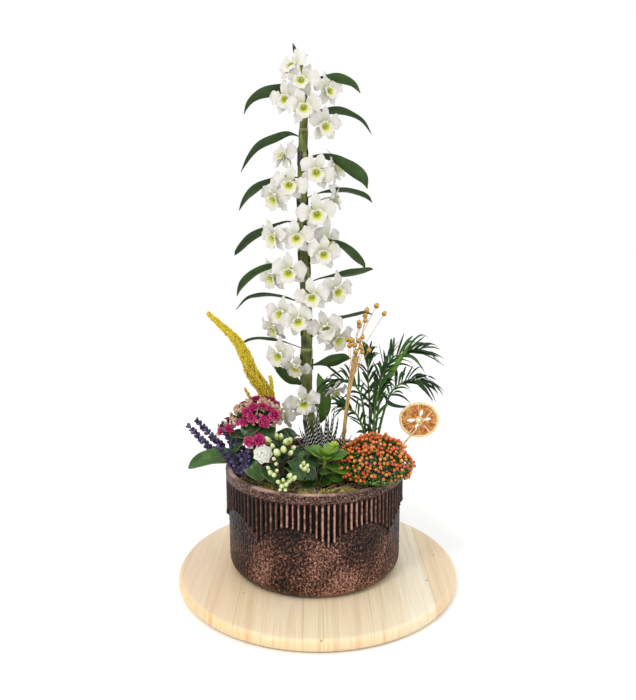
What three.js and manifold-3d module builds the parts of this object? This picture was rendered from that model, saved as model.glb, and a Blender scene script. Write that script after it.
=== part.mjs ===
// A dendrobium orchid in flower, planted among companion plants in a fluted glazed bowl,
// which stands on a round serving board. Millimetres, +Z up, the front is -Y.
// The origin is the middle of the board's underside.
import * as THREE from "three";
import { mergeVertices } from "three/addons/utils/BufferGeometryUtils.js";
import Module from "manifold-3d";

const wasm = await Module();
wasm.setup();

// ---- driving dimensions ----
const GAP = 0.3; // left between two pieces that touch
const BOARD = { radius: 219, thick: 18, edge: 9 };
const POT = {
  x: -5,
  y: 12,
  height: 161,
  rim: 140, // outer radius of the rim and of the fluted band
  wall: 135.5, // outer radius of the plain wall below the band
  inside: 129,
  foot: 18, // rounding at the foot
  floor: 11,
  band: 12, // height of the plain band above the flutes
  lip: 3, // rounding of the rim's top edge
  taper: 1, // how much narrower the inside is at the bottom
  corner: 11, // rounding inside, across and up
  cornerRise: 14,
  scallops: 8,
  tipHeight: 78, // the hanging points of the band, above the board
  archHeight: 108, // the tops of the arches between them
  tipAngle: -81, // degrees from +X of the hanging point next to the middle of the front
};
const POT_BASE = BOARD.thick;
const RIM_TOP = POT_BASE + POT.height;
const SOIL_TOP = RIM_TOP - 10;
const ROOT_DEPTH = 12; // how far a stem reaches into the soil
const CANE_Y = 50;
// The cane leans a little: its middle line in X at these heights, with the cane's radius there.
const CANE = [
  { z: SOIL_TOP - ROOT_DEPTH, x: -1, r: 8.5 },
  { z: 225, x: -12, r: 8 },
  { z: 290, x: -19, r: 7.5 },
  { z: 400, x: -17, r: 7 },
  { z: 540, x: -23, r: 6.5 },
  { z: 620, x: -24, r: 6 },
  { z: 740, x: -20, r: 5 },
  { z: 795, x: -27, r: 2.5 },
];

// ---- materials ----
const finish = (color, roughness, metalness = 0) =>
  new THREE.MeshStandardMaterial({ color, roughness, metalness });
const MATERIALS = {
  wood: finish(0xe2c7a0, 0.55),
  glaze: finish(0x4a2f27, 0.4, 0.2),
  soil: finish(0x3b2a1e, 0.95),
  moss: finish(0x8a8243, 0.95),
  cane: finish(0x7c8038, 0.55),
  leaf: finish(0x22401f, 0.35),
  orchidPetal: finish(0xf1f0ea, 0.6),
  plume: finish(0xd9b32a, 0.9),
  lavender: finish(0x40315c, 0.9),
  succulentLeaf: finish(0x3f6b2c, 0.4),
  pinkPetal: finish(0xb01456, 0.6),
  whitePetal: finish(0xf0f0e4, 0.6),
  zebraLeaf: finish(0x27332c, 0.5),
  berry: finish(0xd9551f, 0.3),
  palmLeaf: finish(0x2f5e2a, 0.45),
  flax: finish(0xc08a2c, 0.7),
  orange: finish(0xc9742a, 0.6),
  stick: finish(0xc9a36a, 0.7),
};

// ---- solids ----
const DEGREE = Math.PI / 180;
const UP = new THREE.Vector3(0, 0, 1);
const point = (x, y, z) => new THREE.Vector3(x, y, z);
const heading = (azimuth, climb = 0) =>
  point(
    Math.cos(azimuth * DEGREE) * Math.cos(climb * DEGREE),
    Math.sin(azimuth * DEGREE) * Math.cos(climb * DEGREE),
    Math.sin(climb * DEGREE),
  );
const mix = THREE.MathUtils.lerp;

function solidOf(geometry) {
  geometry.deleteAttribute("normal");
  geometry.deleteAttribute("uv");
  const merged = mergeVertices(geometry, 1e-3);
  return new wasm.Manifold(
    new wasm.Mesh({
      numProp: 3,
      vertProperties: merged.attributes.position.array,
      triVerts: new Uint32Array(merged.index.array),
    }),
  );
}

function geometryOf(solid) {
  const mesh = solid.getMesh();
  return new THREE.BufferGeometry()
    .setAttribute("position", new THREE.BufferAttribute(mesh.vertProperties, 3))
    .setIndex(new THREE.BufferAttribute(mesh.triVerts, 1));
}

const joined = (solids) => solids.reduce((whole, next) => whole.add(next));
const largest = (solid) =>
  solid.decompose().reduce((a, b) => (b.volume() > a.volume() ? b : a));

function boxesMeet(a, b) {
  const p = a.boundingBox();
  const q = b.boundingBox();
  return [0, 1, 2].every((i) => p.min[i] < q.max[i] && q.min[i] < p.max[i]);
}

// Moves each vertex of a geometry to the place that the function gives for it.
function reshape(geometry, place) {
  const position = geometry.getAttribute("position");
  for (let i = 0; i < position.count; i++) {
    const to = place(position.getX(i), position.getY(i), position.getZ(i));
    position.setXYZ(i, to.x, to.y, to.z);
  }
  return geometry;
}

// The curve's point, direction, side and face at the share t of it. The side is held near the given one.
function frameAt(curve, t, side) {
  const along = curve.getTangent(t);
  const face = along.clone().cross(side).normalize();
  return { at: curve.getPoint(t), side: face.clone().cross(along), face };
}

// A flat leaf along a curve. widthAt gives the half width at each share of the length, and extra makes it
// thicker and wider all round.
function blade({ curve, side, widthAt, thick, steps = 5, across = 1, extra = 0 }) {
  const box = new THREE.BoxGeometry(1, 1, 1, across, 1, steps);
  return solidOf(
    reshape(box, (u, v, w) => {
      const t = w + 0.5;
      const frame = frameAt(curve, t, side);
      const half = widthAt(t) + extra;
      return frame.at
        .addScaledVector(frame.side, u * 2 * half)
        .addScaledVector(frame.face, v * (thick + 2 * extra));
    }),
  );
}

// A round stalk, spike or plume along a curve, with its radius at each share of the length.
function stalk({ curve, side, radiusAt, sides = 6, steps = 3, extra = 0 }) {
  const rows = Array.from({ length: steps + 1 }, (_, i) => i / steps);
  const profile = [
    new THREE.Vector2(0, 0),
    ...rows.map((t) => new THREE.Vector2(radiusAt(t) + extra, t)),
    new THREE.Vector2(0, 1),
  ];
  const turned = new THREE.LatheGeometry(profile, sides);
  return solidOf(
    reshape(turned, (x, t, z) => {
      const frame = frameAt(curve, t, side);
      return frame.at.addScaledVector(frame.side, z).addScaledVector(frame.face, x);
    }),
  );
}

const arc = (...points) => new THREE.CatmullRomCurve3(points);
// A curve from start to tip that passes through the knee half way.
const archThrough = (start, knee, tip) =>
  new THREE.QuadraticBezierCurve3(
    start,
    knee.clone().multiplyScalar(2).addScaledVector(start, -0.5).addScaledVector(tip, -0.5),
    tip,
  );
const turn = (profile, sides) =>
  solidOf(
    new THREE.LatheGeometry(profile.map(([r, z]) => new THREE.Vector2(r, z)), sides).rotateX(
      Math.PI / 2,
    ),
  );
const LEAF_OUTLINE = (t) => Math.sin(Math.PI * Math.pow(0.06 + 0.9 * t, 0.8)) ** 0.75;

// ---- the scene graph, filled as each piece is made ----
const root = new THREE.Group();
const placed = []; // the room that each finished piece takes, itself and its gap

// build(extra) gives the piece with extra added all round. The piece gives way to the pieces already there.
function add(name, material, build) {
  let solid = build(0);
  for (const room of placed) if (boxesMeet(solid, room)) solid = solid.subtract(room);
  placed.push(build(GAP));
  const mesh = new THREE.Mesh(geometryOf(largest(solid)), material);
  mesh.name = name;
  root.add(mesh);
}

// ---- serving board ----
const ROUND_SIDES = 48;
add("serving_board", MATERIALS.wood, () => {
  const { radius, thick, edge } = BOARD;
  const nose = [-90, -45, 0, 45, 90].map((a) => [
    radius - edge + edge * Math.cos(a * DEGREE),
    thick / 2 + edge * Math.sin(a * DEGREE),
  ]);
  return turn([[0, 0], ...nose, [0, thick]], ROUND_SIDES);
});
placed.length = 0; // the pot stands face to face on the board

// ---- planter pot ----
// The lower edge of the fluted band hangs in points with round arches between them.
function bandEdge(angle) {
  const share = Math.abs(Math.sin(((angle - POT.tipAngle) * DEGREE * POT.scallops) / 2));
  return mix(POT.tipHeight, POT.archHeight, share ** 0.7);
}

function potSolid() {
  const { height, rim, wall, inside, foot, floor, band, lip, taper, corner, cornerRise } = POT;
  const UNDER_BAND = -1; // marks the two rows that follow the band's edge
  const profile = [
    [0, 0],
    [wall - foot, 0],
    [wall - foot * 0.3, foot * 0.3],
    [wall, foot],
    [wall, UNDER_BAND],
    [rim, UNDER_BAND],
    [rim, height - band],
    [rim, height - lip],
    [(rim + inside) / 2, height],
    [inside, height - lip - 1],
    [inside - taper, floor + cornerRise],
    [inside - taper - corner, floor],
    [0, floor],
  ];
  const turned = new THREE.LatheGeometry(
    profile.map(([r, z]) => new THREE.Vector2(r, z)),
    ROUND_SIDES,
  ).rotateX(Math.PI / 2);
  return solidOf(
    reshape(turned, (x, y, z) => {
      const onBand = z < UNDER_BAND / 2;
      const outer = Math.hypot(x, y) > wall + 1;
      const angle = Math.atan2(y, x) / DEGREE;
      const up = onBand ? bandEdge(angle) + (outer ? lip : 0) : z;
      return point(x + POT.x, y + POT.y, up + POT_BASE);
    }),
  );
}
add("planter_pot", MATERIALS.glaze, potSolid);

// ---- the orchid ----
function caneAt(z) {
  const upper = CANE.findIndex((row) => row.z >= z);
  const i = upper < 1 ? (upper < 0 ? CANE.length - 1 : 1) : upper;
  const share = (z - CANE[i - 1].z) / (CANE[i].z - CANE[i - 1].z);
  return {
    at: point(mix(CANE[i - 1].x, CANE[i].x, share), CANE_Y, z),
    r: mix(CANE[i - 1].r, CANE[i].r, share),
  };
}

const CANE_BOTTOM = CANE[0].z;
const CANE_TOP = CANE.at(-1).z;
add("orchid_cane", MATERIALS.cane, (extra) => {
  const rows = CANE.map(({ z, r }) => [r + extra, z]);
  const profile = [[0, CANE_BOTTOM - extra], ...rows, [0, CANE_TOP + extra]];
  const turned = new THREE.LatheGeometry(profile.map(([r, z]) => new THREE.Vector2(r, z)), 10);
  return solidOf(
    reshape(turned.rotateX(Math.PI / 2), (x, y, z) => {
      const middle = caneAt(Math.min(Math.max(z, CANE_BOTTOM), CANE_TOP)).at;
      return point(x + middle.x, y + middle.y, z);
    }),
  );
});

// Each leaf: the height of its base, its azimuth, then how far out and up its knee and its tip are from
// the base, its width, and how far it rolls to the front.
const ORCHID_LEAVES = {
  orchid_leaf_left_1: [752, 190, [63, -4], [91, -40], 21, 25],
  orchid_leaf_left_2: [680, 175, [40, 6], [94, -50], 20, 25],
  orchid_leaf_left_3: [621, 195, [64, -10], [98, -51], 20, 20],
  orchid_leaf_left_4: [549, 170, [54, 0], [110, -45], 22, 20],
  orchid_leaf_left_5: [473, 190, [67, 11], [106, -32], 22, 15],
  orchid_leaf_left_6: [429, 175, [69, 14], [110, -11], 20, 15],
  orchid_leaf_left_7: [353, 185, [53, 18], [98, 8], 20, 10],
  orchid_leaf_left_8: [291, 200, [24, 18], [52, 41], 20, 10],
  orchid_leaf_right_1: [758, -10, [55, 9], [85, -16], 22, -25],
  orchid_leaf_right_2: [705, 10, [63, 19], [104, -15], 20, -25],
  orchid_leaf_right_3: [648, -15, [67, -5], [100, -44], 24, -35],
  orchid_leaf_right_4: [588, 15, [68, 16], [113, -1], 20, -20],
  orchid_leaf_right_5: [519, -12, [65, 3], [96, -38], 22, -25],
  orchid_leaf_right_6: [457, 12, [60, 18], [110, 23], 22, -15],
  orchid_leaf_right_7: [386, 10, [60, 18], [106, 22], 20, -10],
  orchid_leaf_right_8: [327, -15, [36, 0], [64, 18], 20, -10],
  orchid_leaf_low: [250, -60, [17, 30], [22, 75], 22, 0],
  orchid_leaf_tip: [780, 180, [9, 18], [12, 36], 10, 0],
};
for (const [name, [z, azimuth, knee, tip, width, roll]] of Object.entries(ORCHID_LEAVES)) {
  add(name, MATERIALS.leaf, (extra) => {
    const base = caneAt(z).at;
    const out = (r, rise) => base.clone().addScaledVector(heading(azimuth), r).addScaledVector(UP, rise);
    const curve = archThrough(base, out(...knee), out(...tip));
    const side = heading(azimuth + 90).applyAxisAngle(heading(azimuth), roll * DEGREE);
    const widthAt = (t) => (width / 2) * LEAF_OUTLINE(t);
    return blade({ curve, side, widthAt, thick: 1.6, extra });
  });
}

// A bloom is turned round one middle line that runs from the joint of its spray through its heart to the end
// of its lip. Each row of its profile: the radius there, the share of the line, and the way it moves along
// the line, per mm, when the bloom is made larger all round. In the rows marked as tepals the radius
// reaches out to five points, two petals and three sepals, with notches between them.
const STALK_RADIUS = 1.5;
const TEPAL_TIP = 27; // a radius this large marks a row of tepals
const TEPAL_NOTCH = 10;
const BLOOM_PROFILE = [
  [0, 0],
  [STALK_RADIUS, 0],
  [2, 0.76],
  [TEPAL_TIP, 0.86, -0.03],
  [TEPAL_TIP, 0.88, 0.03],
  [4, 0.83, 0.03],
  [8, 0.98],
  [0, 1],
];
const BLOOM_SIDES = 10;

// Sprays up the cane. A bloom: height, azimuth and reach of its heart from the cane, then the azimuth and
// climb that it faces, and its size as a share of the usual one.
const SPRAYS = [
  [
    [779, -118, 22, -150, 30, 0.85],
    [758, -92, 30, -90, 5, 0.95],
  ],
  [
    [733, -138, 36, -115, 0, 0.95],
    [719, -90, 38, -88, -5, 1],
  ],
  [
    [747, -18, 36, -25, 10, 0.95],
    [696, -33, 38, -65, -5, 1],
  ],
  [
    [659, 138, 30, 150, 20, 0.9],
    [610, -120, 36, -95, 0, 1],
    [591, -155, 44, -150, -25, 0.95],
  ],
  [
    [628, -54, 38, -85, 0, 1.05],
    [636, 0, 50, 15, 5, 0.95],
  ],
  [
    [567, -57, 40, -88, 0, 1.1],
    [591, 0, 48, 30, 0, 0.9],
  ],
  [
    [532, -104, 38, -92, 0, 1],
    [533, -157, 42, -165, -20, 0.9],
  ],
  [
    [527, -17, 38, -55, 5, 1],
    [508, -48, 46, -80, -5, 1],
  ],
  [
    [480, -129, 38, -95, 0, 1.05],
    [471, 180, 46, -160, -20, 0.95],
  ],
  [
    [443, -76, 40, -90, 0, 1],
    [450, -12, 50, -50, 0, 1],
  ],
  [
    [406, -110, 40, -90, 0, 1],
    [415, -152, 40, -125, 0, 0.9],
    [389, 180, 46, -170, -15, 0.9],
  ],
  [
    [392, -42, 40, -85, 0, 1.05],
    [372, -23, 48, -40, -30, 0.9],
  ],
  [
    [348, -158, 42, -120, 0, 0.95],
    [332, -116, 36, -100, -40, 0.9],
  ],
  [
    [276, -97, 38, -90, 0, 1],
    [253, -145, 44, -160, 0, 0.9],
  ],
];
const mean = (values) => values.reduce((a, b) => a + b) / values.length;

// The joint of a spray stands just off the cane, between its blooms and a little below them.
const JOINT_OUT = 4;
const JOINT_KNOB = 3.5;
const JOINT_FOOT = 2.2;
function sprayJoint(blooms) {
  const z = mean(blooms.map((bloom) => bloom[0])) - 8;
  const toBlooms = blooms.map((bloom) => heading(bloom[1])).reduce((a, b) => a.add(b));
  const out = toBlooms.normalize();
  const cane = caneAt(z);
  return {
    foot: cane.at.clone().addScaledVector(out, cane.r - 1),
    at: cane.at.clone().addScaledVector(out, cane.r + JOINT_OUT).addScaledVector(UP, 3),
  };
}

function jointSolid(joint, extra) {
  const { x, y, z } = joint.at;
  const knob = new THREE.OctahedronGeometry(JOINT_KNOB + extra).translate(x, y, z);
  const foot = stalk({
    curve: new THREE.LineCurve3(joint.foot, joint.at),
    side: point(0.1, 0.2, 1).normalize(),
    radiusAt: () => JOINT_FOOT,
    sides: 5,
    steps: 1,
    extra,
  });
  return foot.add(solidOf(knob));
}

function bloomSolid([z, azimuth, reach, faceAzimuth, climb, size], joint, extra) {
  const heart = caneAt(z).at.addScaledVector(heading(azimuth), reach);
  const face = heading(faceAzimuth, climb);
  const right = UP.clone().cross(face).normalize();
  const back = heart.clone().addScaledVector(face, -9 * size);
  const middle = joint.at.clone().lerp(back, 0.5).addScaledVector(UP, 4);
  const lipEnd = heart.clone().addScaledVector(face, 12 * size).addScaledVector(UP, -5 * size);
  const curve = arc(joint.at, middle, back, lipEnd);
  const profile = BLOOM_PROFILE.map(
    ([r, t, push = 0]) => new THREE.Vector2(r ? r * size + extra : 0, t + push * extra),
  );
  const turned = new THREE.LatheGeometry(profile, BLOOM_SIDES, Math.PI / 2);
  return solidOf(
    reshape(turned, (x, t, z) => {
      const frame = frameAt(curve, t, right);
      const share = Math.atan2(x, z) / (2 * Math.PI) - 0.25;
      const isNotch = Math.round(share * BLOOM_SIDES) % 2 !== 0;
      const isTepal = Math.hypot(x, z) > TEPAL_TIP * size - 1;
      const scale = isTepal && isNotch ? TEPAL_NOTCH / TEPAL_TIP : 1;
      return frame.at.addScaledVector(frame.side, z * scale).addScaledVector(frame.face, x * scale);
    }),
  );
}

SPRAYS.forEach((blooms, i) => {
  add("orchid_spray_" + String(i + 1).padStart(2, "0"), MATERIALS.orchidPetal, (extra) => {
    const joint = sprayJoint(blooms);
    return joined([jointSolid(joint, extra), ...blooms.map((bloom) => bloomSolid(bloom, joint, extra))]);
  });
});

// The flower buds that hang from the joint below the lowest leaf, on the right.
const BUD_RADIUS = 5;
const BUDS = [
  [276, 0, 40],
  [262, -20, 34],
];
add("orchid_buds", MATERIALS.orchidPetal, (extra) => {
  const joint = sprayJoint(BUDS);
  const stems = BUDS.map(([z, azimuth, reach]) => {
    const tip = caneAt(z).at.addScaledVector(heading(azimuth), reach);
    const middle = joint.at.clone().lerp(tip, 0.5).addScaledVector(UP, 8);
    const budRadius = (t) => BUD_RADIUS * (1 - (2 * t - 1.5) ** 2);
    const radiusAt = (t) => (t < 0.5 ? STALK_RADIUS : budRadius(t));
    return stalk({ curve: arc(joint.at, middle, tip), side: UP, radiusAt, sides: 5, steps: 6, extra });
  });
  return joined([jointSolid(joint, extra), ...stems]);
});

// ---- what the companion plants share ----
const through = (points) => arc(...points.map(([x, y, z]) => point(x, y, z)));
const ROOT_Z = SOIL_TOP - ROOT_DEPTH;
const SIDE = point(0, 1, 0);
const stem = (points, radius, extra, steps = 3) =>
  stalk({ curve: through(points), side: SIDE, radiusAt: () => radius, sides: 5, steps, extra });

// A leaf from start through knee to tip, with its flat face up.
function leafThrough(start, knee, tip, width, thick, extra, shape = LEAF_OUTLINE) {
  const curve = archThrough(point(...start), point(...knee), point(...tip));
  const run = point(tip[0] - start[0], tip[1] - start[1], 0).normalize();
  const widthAt = (t) => (width / 2) * shape(t);
  return blade({ curve, side: UP.clone().cross(run), widthAt, thick, steps: 4, extra });
}

// A head of florets as a closed dome, from its widest place down to its underside and up to its top.
function dome([x, y, z], radius, up, down, extra, sides = 10) {
  const r = radius + extra;
  const profile = [
    [0, -down - extra],
    [r * 0.6, -down - extra],
    [r, 0],
    [r * 0.8, up * 0.6],
    [r * 0.4, up * 0.93 + extra],
    [0, up + extra],
  ];
  return turn(profile, sides).translate([x, y, z]);
}

// ---- the dyed grass plume ----
const PLUME_STEM = 2;
const PLUME_RADIUS = 12.5;
const PLUME_TIP = 1.5;
const PLUME = [
  [-62, 12, ROOT_Z],
  [-68, 14, 225],
  [-73, 12, 275],
  [-90, 8, 320],
  [-129, 2, 384],
  [-165, 0, 418],
];
const PLUME_START = 0.42; // the share of the stem below the plume
add("gold_plume", MATERIALS.plume, (extra) => {
  const fullness = (t) => Math.sqrt((1 - t) / (1 - PLUME_START));
  const radiusAt = (t) => (t < PLUME_START ? PLUME_STEM : mix(PLUME_TIP, PLUME_RADIUS, fullness(t)));
  return stalk({ curve: through(PLUME), side: SIDE, radiusAt, sides: 8, steps: 10, extra });
});

// ---- lavender: the foot of each stem, where its spike starts, and its tip ----
const SPIKE_RADIUS = 4.6;
const SPIKE_START = 0.6; // the share of the stem below the spike
const LAVENDER = [
  [[-108, -12], [-165, -20, 214], [-198, -20, 249]],
  [[-102, 4], [-154, -10, 221], [-187, -12, 256]],
  [[-96, -54], [-114, -65, 212], [-137, -65, 257]],
  [[-100, -44], [-121, -66, 198], [-147, -68, 232]],
  [[-86, -68], [-104, -80, 206], [-99, -84, 232]],
];
LAVENDER.forEach(([foot, start, tip], i) => {
  add(`lavender_spike_${i + 1}`, MATERIALS.lavender, (extra) => {
    const rise = [mix(foot[0], start[0], 0.3), mix(foot[1], start[1], 0.3), mix(SOIL_TOP, start[2], 0.5)];
    const curve = through([[...foot, ROOT_Z], rise, start, tip]);
    const radiusAt = (t) => (t < SPIKE_START ? 1 : SPIKE_RADIUS - 9.6 * Math.abs(t - 0.78));
    return stalk({ curve, side: SIDE, radiusAt, sides: 6, steps: 8, extra });
  });
});

// ---- pink kalanchoe: three heads over thick leaves ----
const KALANCHOE_STEM = 3;
const KALANCHOE_LEAF = 2.4; // thickness
const PINK_STEMS = [
  [[-78, -30, ROOT_Z], [-84, -36, 215], [-90, -45, 262]],
  [[-78, -30, 190], [-84, -55, 215], [-90, -72, 232]],
  [[-80, -32, 190], [-105, -42, 215], [-132, -50, 240]],
];
const PINK_LEAVES = [
  [[-84, -34, 200], [-149, -40, 214], [-194, -42, 191], 34],
  [[-82, -36, 192], [-92, -72, 212], [-97, -96, 186], 32],
  [[-78, -34, 190], [-72, -76, 208], [-69, -101, 184], 24],
  [[-86, -36, 222], [-110, -56, 240], [-124, -70, 222], 26],
  [[-80, -28, 205], [-100, 4, 232], [-118, 20, 224], 30],
  [[-78, -26, 200], [-48, 2, 226], [-30, 16, 220], 28],
  [[-80, -34, 228], [-58, -54, 240], [-44, -64, 224], 24],
];
add("pink_kalanchoe_plant", MATERIALS.succulentLeaf, (extra) =>
  joined([
    ...PINK_STEMS.map((points) => stem(points, KALANCHOE_STEM, extra)),
    ...PINK_LEAVES.map(([start, knee, tip, width]) =>
      leafThrough(start, knee, tip, width, KALANCHOE_LEAF, extra),
    ),
  ]),
);
const PINK_HEADS = [
  { at: [-90, -45, 276], radius: 39, up: 26, down: 14 },
  { at: [-90, -74, 242], radius: 17, up: 12, down: 9 },
  { at: [-134, -50, 250], radius: 16, up: 13, down: 9 },
];
PINK_HEADS.forEach(({ at, radius, up, down }, i) => {
  add(`pink_kalanchoe_head_${i + 1}`, MATERIALS.pinkPetal, (extra) =>
    dome(at, radius, up, down, extra),
  );
});

// ---- white kalanchoe ----
const WHITE_LEAVES = [
  [[-44, -66, 178], [-38, -92, 200], [-30, -110, 188], 24],
  [[-46, -66, 180], [-20, -72, 202], [-2, -78, 196], 22],
  [[-44, -62, 182], [-28, -40, 210], [-18, -26, 206], 22],
];
const WHITE_STEM = [[-44, -62, ROOT_Z], [-46, -72, 190], [-50, -82, 214]];
const SHOOT = { stem: 1.6, radius: 8, up: 6, down: 6 };
const WHITE_SHOOTS = [
  [[-44, -66, 185], [-47, -92, 195], [-48, -106, 190]],
  [[-44, -66, 185], [-30, -86, 200], [-21, -96, 206]],
];
add("white_kalanchoe_plant", MATERIALS.succulentLeaf, (extra) =>
  joined([
    stem(WHITE_STEM, KALANCHOE_STEM, extra),
    ...WHITE_LEAVES.map(([start, knee, tip, width]) =>
      leafThrough(start, knee, tip, width, KALANCHOE_LEAF, extra),
    ),
    ...WHITE_SHOOTS.flatMap((points) => [
      stem(points, SHOOT.stem, extra),
      dome(points.at(-1), SHOOT.radius, SHOOT.up, SHOOT.down, extra, 6),
    ]),
  ]),
);
const WHITE_HEAD = { at: [-48, -84, 224], radius: 25, up: 24, down: 14 };
const OPEN_BLOOM = { at: [-77, -98, 230], radius: 14, up: 9, down: 6 };
const BLOOM_STEM = [[-60, -88, 224], [-66, -92, 226], [-72, -95, 230]];
add("white_kalanchoe_head", MATERIALS.whitePetal, (extra) =>
  joined([
    dome(WHITE_HEAD.at, WHITE_HEAD.radius, WHITE_HEAD.up, WHITE_HEAD.down, extra),
    stem(BLOOM_STEM, KALANCHOE_STEM, extra, 1),
    dome(OPEN_BLOOM.at, OPEN_BLOOM.radius, OPEN_BLOOM.up, OPEN_BLOOM.down, extra),
  ]),
);

// ---- zebra haworthia: a rosette, an outer and an inner ring of stiff leaves ----
const ZEBRA = { x: 8, y: -6, root: 9, crownEdge: 184, crownTop: 190, leafThick: 4 };
const ZEBRA_RINGS = [
  { count: 8, from: 20, reach: 44, rise: 76, width: 13 },
  { count: 5, from: 0, reach: 20, rise: 98, width: 12 },
];
const SPEAR = (t) => (1 - 0.93 * t) * (0.75 + t * (1 - t));
add("zebra_haworthia", MATERIALS.zebraLeaf, (extra) => {
  const { x, y, root, crownEdge, crownTop, leafThick } = ZEBRA;
  const radius = root + extra;
  const leaves = ZEBRA_RINGS.flatMap(({ count, from, reach, rise, width }) =>
    Array.from({ length: count }, (_, i) => {
      const out = heading(from + (i * 360) / count);
      const place = (r, z) => [x + out.x * r, y + out.y * r, z];
      const knee = place(reach * 0.62, SOIL_TOP + rise * 0.5);
      const tip = place(reach, SOIL_TOP + rise);
      return leafThrough(place(3, SOIL_TOP), knee, tip, width, leafThick, extra, SPEAR);
    }),
  );
  const low = ROOT_Z - extra;
  const crown = turn([[0, low], [radius, low], [radius, crownEdge], [0, crownTop]], 8);
  return joined([crown.translate([x, y, 0]), ...leaves]);
});

// ---- jade plant: two stems of spoon-shaped leaves ----
const JADE_STEMS = [
  [[8, -52, ROOT_Z], [9, -58, 195], [11, -64, 216]],
  [[2, -54, ROOT_Z], [-3, -62, 182], [-6, -70, 192]],
];
// Each leaf: the stem it grows on, the height where it leaves it, its azimuth, climb and length.
const JADE_LEAVES = [
  [0, 216, -90, 60, 24],
  [0, 214, -20, 35, 26],
  [0, 214, 70, 45, 24],
  [0, 214, 155, 40, 26],
  [0, 212, -130, 30, 26],
  [0, 206, -70, 15, 27],
  [0, 204, 15, 15, 28],
  [0, 202, 105, 20, 26],
  [0, 200, -165, 10, 28],
  [0, 190, -25, 0, 27],
  [1, 192, -90, 30, 22],
  [1, 190, -160, 20, 24],
  [1, 188, -45, 0, 20],
];
const JADE = { stem: 3.4, leafWidth: 15, leafThick: 4, sag: 1.5 };
const SPOON = (t) => 0.28 + 0.72 * Math.sin(Math.PI * t ** 1.6);
const onStem = (points, z) => {
  const curve = through(points);
  const share = Math.min(1, (z - points[0][2]) / (points.at(-1)[2] - points[0][2]));
  return curve.getPoint(share);
};
add("jade_plant", MATERIALS.succulentLeaf, (extra) =>
  joined([
    ...JADE_STEMS.map((points) => stem(points, JADE.stem, extra)),
    ...JADE_LEAVES.map(([which, z, azimuth, climb, length]) => {
      const start = onStem(JADE_STEMS[which], z);
      const out = heading(azimuth, climb);
      const tip = start.clone().addScaledVector(out, length);
      const knee = start.clone().lerp(tip, 0.5).addScaledVector(UP, -JADE.sag);
      const ends = [start, knee, tip].map((p) => p.toArray());
      return leafThrough(...ends, JADE.leafWidth, JADE.leafThick, extra, SPOON);
    }),
  ]),
);

// ---- bead plant: a dome that leans on the rim, on its root ball ----
const BEAD = { x: 84, y: -52, radius: 54, top: 243, root: 15 };
add("bead_plant", MATERIALS.berry, (extra) => {
  const { x, y, radius, top, root: core } = BEAD;
  const under = RIM_TOP + 2 * GAP - extra;
  const r = radius + extra;
  const profile = [
    [0, ROOT_Z - extra],
    [core + extra, ROOT_Z - extra],
    [core + extra, under],
    [r * 0.92, under],
    [r, 194],
    [r * 0.9, 214],
    [r * 0.62, 233 + extra],
    [r * 0.3, top - 3 + extra],
    [0, top + extra],
  ];
  return turn(profile, 14).translate([x, y, 0]);
});

// ---- parlour palm: each frond's stalk, and how long its leaflets are ----
const PALM_FRONDS = [
  { path: [[82, 56, ROOT_Z], [88, 54, 250], [112, 50, 325], [150, 46, 362]], leaflet: 52 },
  { path: [[92, 50, ROOT_Z], [108, 48, 245], [140, 46, 296], [174, 44, 316]], leaflet: 46 },
  { path: [[76, 52, ROOT_Z], [70, 48, 240], [52, 44, 290], [30, 42, 306]], leaflet: 40 },
  { path: [[84, 64, ROOT_Z], [88, 66, 250], [92, 66, 312], [98, 64, 346]], leaflet: 44 },
];
const PALM_PAIRS = [0.55, 0.76, 0.96]; // where the leaflets leave the stalk
const LEAFLET = { halfWidth: 4.5, thick: 1.2, arch: 3, droop: 6 };
PALM_FRONDS.forEach(({ path, leaflet }, i) => {
  add(`palm_frond_${i + 1}`, MATERIALS.palmLeaf, (extra) => {
    const curve = through(path);
    const stalkSolid = stalk({
      curve,
      side: SIDE,
      radiusAt: (t) => 2.4 - 1.4 * t,
      sides: 5,
      steps: 5,
      extra,
    });
    const leaflets = PALM_PAIRS.flatMap((t) =>
      [1, -1].map((hand) => {
        const start = curve.getPoint(t);
        const along = curve.getTangent(t);
        const across = along.clone().cross(SIDE).normalize();
        const spread = 0.95 - 0.6 * t;
        const out = along.clone().addScaledVector(across, hand * spread * 1.3).normalize();
        out.y -= 0.12 * hand;
        const tip = start.clone().addScaledVector(out, leaflet);
        tip.z -= LEAFLET.droop;
        const knee = start.clone().lerp(tip, 0.5).addScaledVector(UP, LEAFLET.arch);
        return blade({
          curve: archThrough(start, knee, tip),
          side: across.clone().multiplyScalar(0.5).addScaledVector(SIDE, 0.8),
          widthAt: (share) => LEAFLET.halfWidth * LEAF_OUTLINE(share),
          thick: LEAFLET.thick,
          steps: 2,
          extra,
        });
      }),
    );
    return joined([stalkSolid, ...leaflets]);
  });
});

// ---- dried flax: a bundle of stems with seed capsules ----
const FLAX = { bundle: 3.6, capsule: 4.2, twig: 0.8 };
const FLAX_BUNDLE = [[38, 12, ROOT_Z], [42, 10, 231], [50, 10, 300], [60, 10, 350]];
const FLAX_CAPSULES = [
  [46, 8, 374],
  [58, 5, 378],
  [66, 12, 370],
  [70, 6, 384],
  [79, 12, 361],
  [62, 14, 404],
  [73, 8, 415],
  [90, 12, 427],
  [102, 8, 416],
];
add("flax_bundle", MATERIALS.flax, (extra) =>
  joined([
    stem(FLAX_BUNDLE, FLAX.bundle, extra, 5),
    ...FLAX_CAPSULES.flatMap(([x, y, z]) => {
      const bead = new THREE.OctahedronGeometry(FLAX.capsule + extra).translate(x, y, z);
      const curve = new THREE.LineCurve3(point(...FLAX_BUNDLE.at(-1)), point(x, y, z));
      const twig = stalk({ curve, side: SIDE, radiusAt: () => FLAX.twig, sides: 4, steps: 1, extra });
      return [twig, solidOf(bead)];
    }),
  ]),
);

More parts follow.
